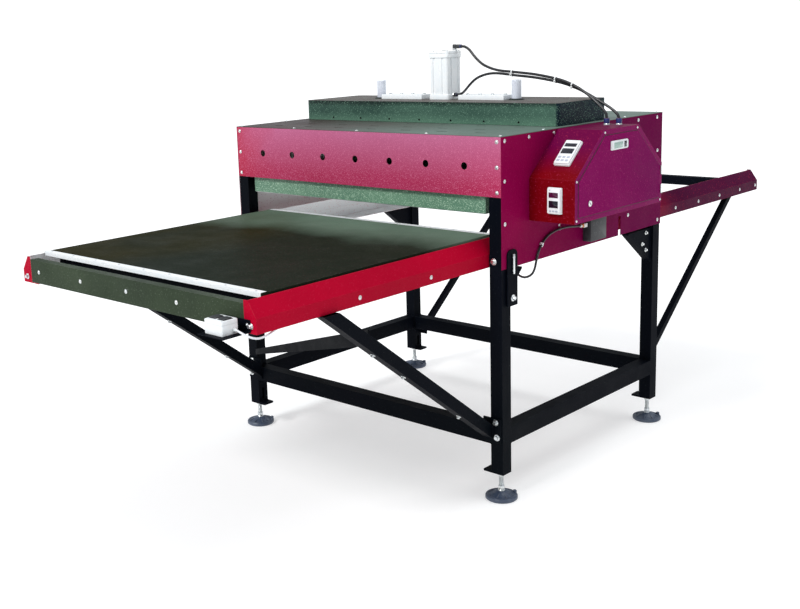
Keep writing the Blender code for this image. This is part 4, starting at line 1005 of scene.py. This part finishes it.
upper_seat = SLANT_LOW + SLANT * 0.118
meter(
    "temperature_meter", "temperature_controller",
    facing(at(0.754, upper_seat.y, upper_seat.z), SLANT_OUT), 0.112, 0.062,
    windows=[(0.0, 0.03, 0.046, 0.016, 2), (0.0, 0.002, 0.046, 0.024, 2)],
    keys=[(x, y, 0.011, 0.008) for y in (-0.026, -0.041) for x in (-0.0165, 0.0, 0.0165)])
meter(
    "time_meter", "press_timer",
    facing(at(0.76, -0.39, 1.056), FRONT), 0.09, 0.054,
    windows=[(0.0, 0.02, 0.036, 0.018, 3), (0.0, -0.011, 0.036, 0.024, 2)],
    keys=[(-0.014, 0.0365, 0.004, 0.003)] + [(x, -0.034, 0.009, 0.0055) for x in (-0.012, 0.0, 0.012)])

COUNTER_LOW, COUNTER_HIGH = box_of("counter_display")
counter_mid = (COUNTER_LOW + COUNTER_HIGH) / 2
meter(
    "cycle_counter", "counter_display",
    facing(at(COUNTER_LOW.x - SKIN, counter_mid.y, counter_mid.z), RIGHT),
    COUNTER_HIGH.z - COUNTER_LOW.z, COUNTER_HIGH.y - COUNTER_LOW.y,
    windows=[(-0.014, 0.0, 0.06, 0.021, 4), (0.033, 0.0, 0.018, 0.021, 2)], keys=[], depth=0.007)

# Door furniture: two hinges at the rear edge, a cam lock and corner screws.
bm = bmesh.new()
lock = facing(at(DOOR_HIGH.x, -0.3, 1.04), RIGHT)
add_turned(bm, lock, [
    (0.002, 0.0), (0.0105, 0.0), (0.0105, 0.002), (0.009, 0.0034), (0.0085, 0.003),
    (0.002, 0.003)], 32, 0)
add_block(bm, lock @ Matrix.Rotation(0.5, 4, "Z"), (0.0022, 0.0085, 0.0012), (0, 0, 0.0032), 1)
for z in (1.03, 1.1):
    seat = facing(at(BOX_HIGH.x, 0.197, z), RIGHT)
    add_turned(bm, seat @ Matrix.Rotation(pi / 2, 4, "X") @ Matrix.Translation((0, 0.003, -0.016)), [
        (0.001, 0.0), (0.0028, 0.0005), (0.0028, 0.01), (0.0024, 0.0104), (0.0028, 0.0108),
        (0.0028, 0.021), (0.0024, 0.0214), (0.0028, 0.0218), (0.0028, 0.032), (0.001, 0.0325)], 16, 0)
piece("door_furniture", bm, [ZINC, SHADOW_HOLE])
screws("control_box_screws", [
    (at(BOX_HIGH.x, y, z), RIGHT) for y, z in (
        (-0.38, 0.99), (0.196, 0.99), (-0.38, 1.122), (0.02, 1.27), (-0.202, 1.27))],
    radius=0.0032)

# Dark line round the door: a thin strip in the seam, painted dark as the shade in the gap between door and
# box.
bm = bmesh.new()


def inset(profile, amount):
    """Every edge of a convex outline moved inwards."""
    centre = sum((Vector(p) for p in profile), Vector((0, 0))) / len(profile)
    lines = []
    for a, b in zip(profile, profile[1:] + profile[:1]):
        a, b = Vector(a), Vector(b)
        run = (b - a).normalized()
        normal = Vector((-run.y, run.x))
        if normal.dot(centre - a) < 0:
            normal.negate()
        lines.append((a + normal * amount, run))
    points = []
    for (p, u), (q, v) in zip(lines[-1:] + lines[:-1], lines):
        cross = u.x * v.y - u.y * v.x
        t = ((q.x - p.x) * v.y - (q.y - p.y) * v.x) / cross
        points.append((p.x + u.x * t, p.y + u.y * t))
    return points


BOX_PROFILE = [
    (-0.39, 0.98), (0.206, 0.98), (0.206, 1.127), (0.03, 1.2797), (-0.21, 1.2797), (-0.39, 1.127)]
seam_shade_rings = []
for amount, x in ((0.018, BOX_HIGH.x), (0.018, BOX_HIGH.x + 0.001), (0.0198, BOX_HIGH.x + 0.001)):
    seam_shade_rings.append([at(x, y, z) for y, z in inset(BOX_PROFILE, amount)])
add_rings(bm, seam_shade_rings, close_ends=False)
piece("door_seam_shade", bm, [SHADOW_HOLE])

# ---------------- valve and lead fittings
VALVE_LOW, VALVE_HIGH = box_of("solenoid_valve")
VALVE_BODY_TOP = 0.94


def build_valve():
    """Spool valve: cast body, ports with plugs, coil and exhaust silencers."""
    bm = bmesh.new()
    wide = VALVE_HIGH.x - VALVE_LOW.x
    mid_x = (VALVE_LOW.x + VALVE_HIGH.x) / 2
    half_z = (VALVE_BODY_TOP - VALVE_LOW.z) / 2
    body_mid = at(mid_x, (VALVE_LOW.y + VALVE_HIGH.y) / 2, VALVE_LOW.z + half_z)
    seat = facing(body_mid, RIGHT)
    add_slab(bm, seat, (VALVE_HIGH.y - VALVE_LOW.y) / 2, half_z, -wide / 2, wide / 2, 0.004, 0.0015, 0)
    for y, z in ((-0.036, 0.02), (-0.012, 0.02), (0.014, 0.02), (-0.024, -0.018), (0.008, -0.018)):
        add_turned(bm, shift(seat, y, z, wide / 2 - 0.0022), [
            (0.003, 0.0), (0.0066, 0.0), (0.0066, 0.0018), (0.0052, 0.0022), (0.0045, 0.0006),
            (0.003, 0.0006)], 24, 1)
    coil = upward(mid_x, 0.007, VALVE_BODY_TOP)
    add_slab(bm, coil, 0.013, 0.0165, 0.0, 0.0225, 0.003, 0.0015, 0)
    add_turned(bm, coil, [
        (0.001, 0.022), (0.006, 0.022), (0.006, 0.025), (0.0045, 0.0258), (0.001, 0.0258)], 20, 1)
    for y in (-0.02, 0.046):
        add_turned(bm, facing(at(mid_x, y, VALVE_LOW.z + 0.0013), DOWN, BACK), [
            (0.001, 0.0), (0.005, 0.0), (0.005, 0.0008), (0.001, 0.0012)], 20, 1)
    piece("air_valve", bm, [BLACK_PLASTIC, ZINC], smooth=30, replaces=("solenoid_valve",))


build_valve()

# Plug connector between the lead and the valve, with a pale shell and an orange insert.
bm = bmesh.new()
plug = facing(at(0.6706, -0.07, 0.916), FRONT)
add_slab(bm, plug, 0.0085, 0.0075, -0.022, -0.002, 0.002, 0.001, 0)
add_slab(bm, plug, 0.007, 0.0062, -0.002, 0.006, 0.002, 0.001, 1)
add_turned(bm, plug, [(0.0044, 0.005), (0.006, 0.005), (0.0052, 0.014), (0.0044, 0.016)], 20, 0)
piece("valve_plug", bm, [WHITE_TIE, ORANGE_PLASTIC], smooth=30)


def lead_clip(name, y, z, tilt):
    """Saddle clip over the lead with its own screw."""
    bm = bmesh.new()
    seat = facing(at(PANEL_HIGH.x, y, z), RIGHT) @ Matrix.Rotation(tilt, 4, "Z")
    outer = []
    for k in range(9):
        turn = pi * k / 8
        outer.append((0.006 * cos(turn), 0.0055 + 0.0045 * sin(turn)))
    line = [(0.016, 0.0009), (0.0068, 0.001), *outer, (-0.0068, 0.001), (-0.0074, 0.001)]
    rings = []
    for b in (-0.005, 0.005):
        upper = [seat @ Vector((a, b, h)) for a, h in line]
        lower = [seat @ Vector((a * 0.92, b, max(0.0, h - 0.001))) for a, h in reversed(line)]
        rings.append(upper + lower)
    add_rings(bm, rings)
    place = shift(seat, 0.012, 0, 0.0009)
    add_pan_screw(bm, place, 0.0042, 0.0024)
    piece(name, bm, [ZINC], smooth=40)


lead_clip("lead_clip_lower", -0.318, 0.886, radians(-35))
lead_clip("lead_clip_upper", -0.198, 0.9245, radians(100))

# ---------------- start button box
BUTTON_LOW, BUTTON_HIGH = box_of("button_box")


def build_button_box():
    """Two-part moulded box: tub, seam, lid with frames round the buttons, lid screws, lead gland."""
    centre, (half_x, half_y, _) = middle_and_half("button_box")
    seat = upward(centre.x, centre.y, 0)
    seam = BUTTON_HIGH.z - 0.012
    bm = bmesh.new()
    add_slab(bm, seat, half_x, half_y, BUTTON_LOW.z, seam - 0.0005, 0.005, 0.0006, 0)
    add_slab(bm, seat, half_x - 0.0008, half_y - 0.0008, seam - 0.0006, seam + 0.0006, 0.005, 0.0002, 0)
    add_slab(bm, seat, half_x, half_y, seam + 0.0005, BUTTON_HIGH.z, 0.005, 0.0022, 0)
    for side in ("left", "right"):
        mid, half = middle_and_half(f"start_button_{side}")
        rim = upward(mid.x, mid.y, BUTTON_HIGH.z)
        add_slab(bm, rim, half.x + 0.0022, half.y + 0.0022, -0.001, 0.0012, 0.002, 0.0005, 1)
    for sx, sy in CORNERS:
        corner = shift(seat, sx * (half_x - 0.0042), sy * (half_y - 0.0042), BUTTON_HIGH.z - 0.0008)
        add_pan_screw(bm, corner, 0.0026, 0.0014, 2)
    gland = facing(at(BUTTON_HIGH.x, -1.662, 0.852), RIGHT)
    add_hex(bm, gland, 0.012, 0.0, 0.003, 0)
    add_turned(bm, gland, [
        (0.0031, 0.0028), (0.005, 0.003), (0.0044, 0.008), (0.0036, 0.01), (0.0031, 0.01)],
        20, 0)
    piece("start_box", bm, [WHITE_PLASTIC, BLACK_PLASTIC, ZINC], smooth=30, replaces=("button_box",))


build_button_box()
for side in ("left", "right"):
    node = f"start_button_{side}"
    mid, half = middle_and_half(node)
    top = mid.z + half.z
    bm = bmesh.new()
    seat = upward(mid.x, mid.y, 0)
    rings = []
    for inset_by, z in (
            (0.0, mid.z - half.z), (0.0, top - 0.0012), (0.001, top), (0.005, top - 0.0006),
            (0.0085, top - 0.0009)):
        outline = rounded_rect(half.x - inset_by, half.y - inset_by, 0.0015)
        rings.append([seat @ Vector((a, b, z)) for a, b in outline])
    add_rings(bm, rings)
    piece(f"{node}_cap", bm, [BLACK_PLASTIC], body=node, smooth=25, replaces=(node,))

# The screw of the bracket that holds the button box.
screws("bracket_screws", [(at(0.5625, -1.6228, 0.86), FRONT)], radius=0.004)

# ---------------- table trims
TABLE_LOW, TABLE_HIGH = box_of("table_plate")


def edge_trim(name, y, sign):
    """Aluminium angle over a table edge, held by countersunk screws."""
    bm = bmesh.new()
    half = TABLE_HIGH.x - 0.004
    profile = [
        (0.0, TABLE_LOW.z + 0.001), (0.0012, TABLE_LOW.z + 0.001), (0.0012, TABLE_HIGH.z + 0.0005),
        (-0.0225, TABLE_HIGH.z + 0.0005), (-0.023, TABLE_HIGH.z + 0.0002),
        (-0.0005, TABLE_HIGH.z + 0.0001)]
    rings = []
    for x in (-half, half):
        rings.append([at(x, y + sign * a, z) for a, z in profile])
    add_rings(bm, rings)
    count = 9
    for k in range(count):
        x = (k / (count - 1) - 0.5) * 2 * (half - 0.03)
        head = upward(x, y - sign * 0.01, TABLE_HIGH.z + 0.0005)
        add_turned(bm, head, [(0.0008, 0.0), (0.0036, 0.0), (0.0034, 0.0002), (0.0008, -0.0003)], 16, 1)
    piece(name, bm, [SATIN_ALLOY, ZINC], body="table", smooth=30)


edge_trim("table_trim_front", TABLE_LOW.y, -1)
edge_trim("table_trim_rear", TABLE_HIGH.y, 1)

# Fixing screws along the platen's skirt.
HOUSING_HIGH = box_of("platen_housing")[1]
screws("platen_screws", [
    (at(sx * HOUSING_HIGH.x, y, 1.032), RIGHT * sx)
    for sx in (-1, 1) for y in (-0.45, -0.15, 0.15, 0.45)], radius=0.0042, body="platen")

# Roller retaining clips.
for end, _ in ENDS:
    for side, sx in SIDES:
        mid, half = middle_and_half(f"roller_{end}_{side}")
        bm = bmesh.new()
        seat = facing(at(mid.x + sx * (half.x + 0.0006), mid.y, mid.z), RIGHT * sx)
        add_turned(bm, seat, [
            (0.0062, 0.0), (0.0098, 0.0), (0.0098, 0.0009), (0.0092, 0.0012), (0.0062, 0.0012)], 24)
        piece(f"roller_clip_{end}_{side}", bm, [ZINC], body="table")

# ---------------- stage and light


def make_stage():
    floor_mesh = bpy.data.meshes.new("floor")
    bm = bmesh.new()
    bmesh.ops.create_grid(bm, x_segments=1, y_segments=1, size=40.0)
    bm.to_mesh(floor_mesh)
    bm.free()
    floor = new_object("floor", floor_mesh)
    finish = Finish("floor_paper")
    speck = finish.noise(3.0, 2.0)
    tone = finish.mix(speck, (0.6, 0.6, 0.6), (0.62, 0.62, 0.62))
    finish.surface(tone, 0.9, finish.bump(speck, 0.0001), specular=0.0)
    finish.glow((1.0, 1.0, 1.0), 0.5)
    floor_mesh.materials.append(finish.material)


def make_world():
    world = bpy.data.worlds.new("studio")
    bpy.context.scene.world = world
    world.use_nodes = True
    nodes, links = world.node_tree.nodes, world.node_tree.links
    soft = nodes["Background"]
    soft.inputs["Color"].default_value = (0.9, 0.95, 1.0, 1.0)
    soft.inputs["Strength"].default_value = 0.55
    plain = nodes.new("ShaderNodeBackground")
    plain.inputs["Color"].default_value = (1.0, 1.0, 1.0, 1.0)
    plain.inputs["Strength"].default_value = 1.1
    blend = nodes.new("ShaderNodeMixShader")
    ray = nodes.new("ShaderNodeLightPath")
    links.new(ray.outputs["Is Camera Ray"], blend.inputs["Fac"])
    links.new(soft.outputs[0], blend.inputs[1])
    links.new(plain.outputs[0], blend.inputs[2])
    links.new(blend.outputs[0], nodes["World Output"].inputs["Surface"])


def make_light(name, kind, energy, direction, **settings):
    data = bpy.data.lights.new(name, kind)
    data.energy = energy
    for key, value in settings.items():
        setattr(data, key, value)
    lamp = new_object(name, data)
    lamp.rotation_mode = "QUATERNION"
    lamp.rotation_quaternion = Vector(direction).to_track_quat("-Z", "Y")


make_stage()
make_world()
make_light("key", "SUN", 2.2, (0.1, 0.7, -0.62), angle=radians(16))
make_light("overhead", "SUN", 1.1, (-0.3, -0.22, -1.0), angle=radians(34))
bpy.context.scene.view_settings.view_transform = "Standard"
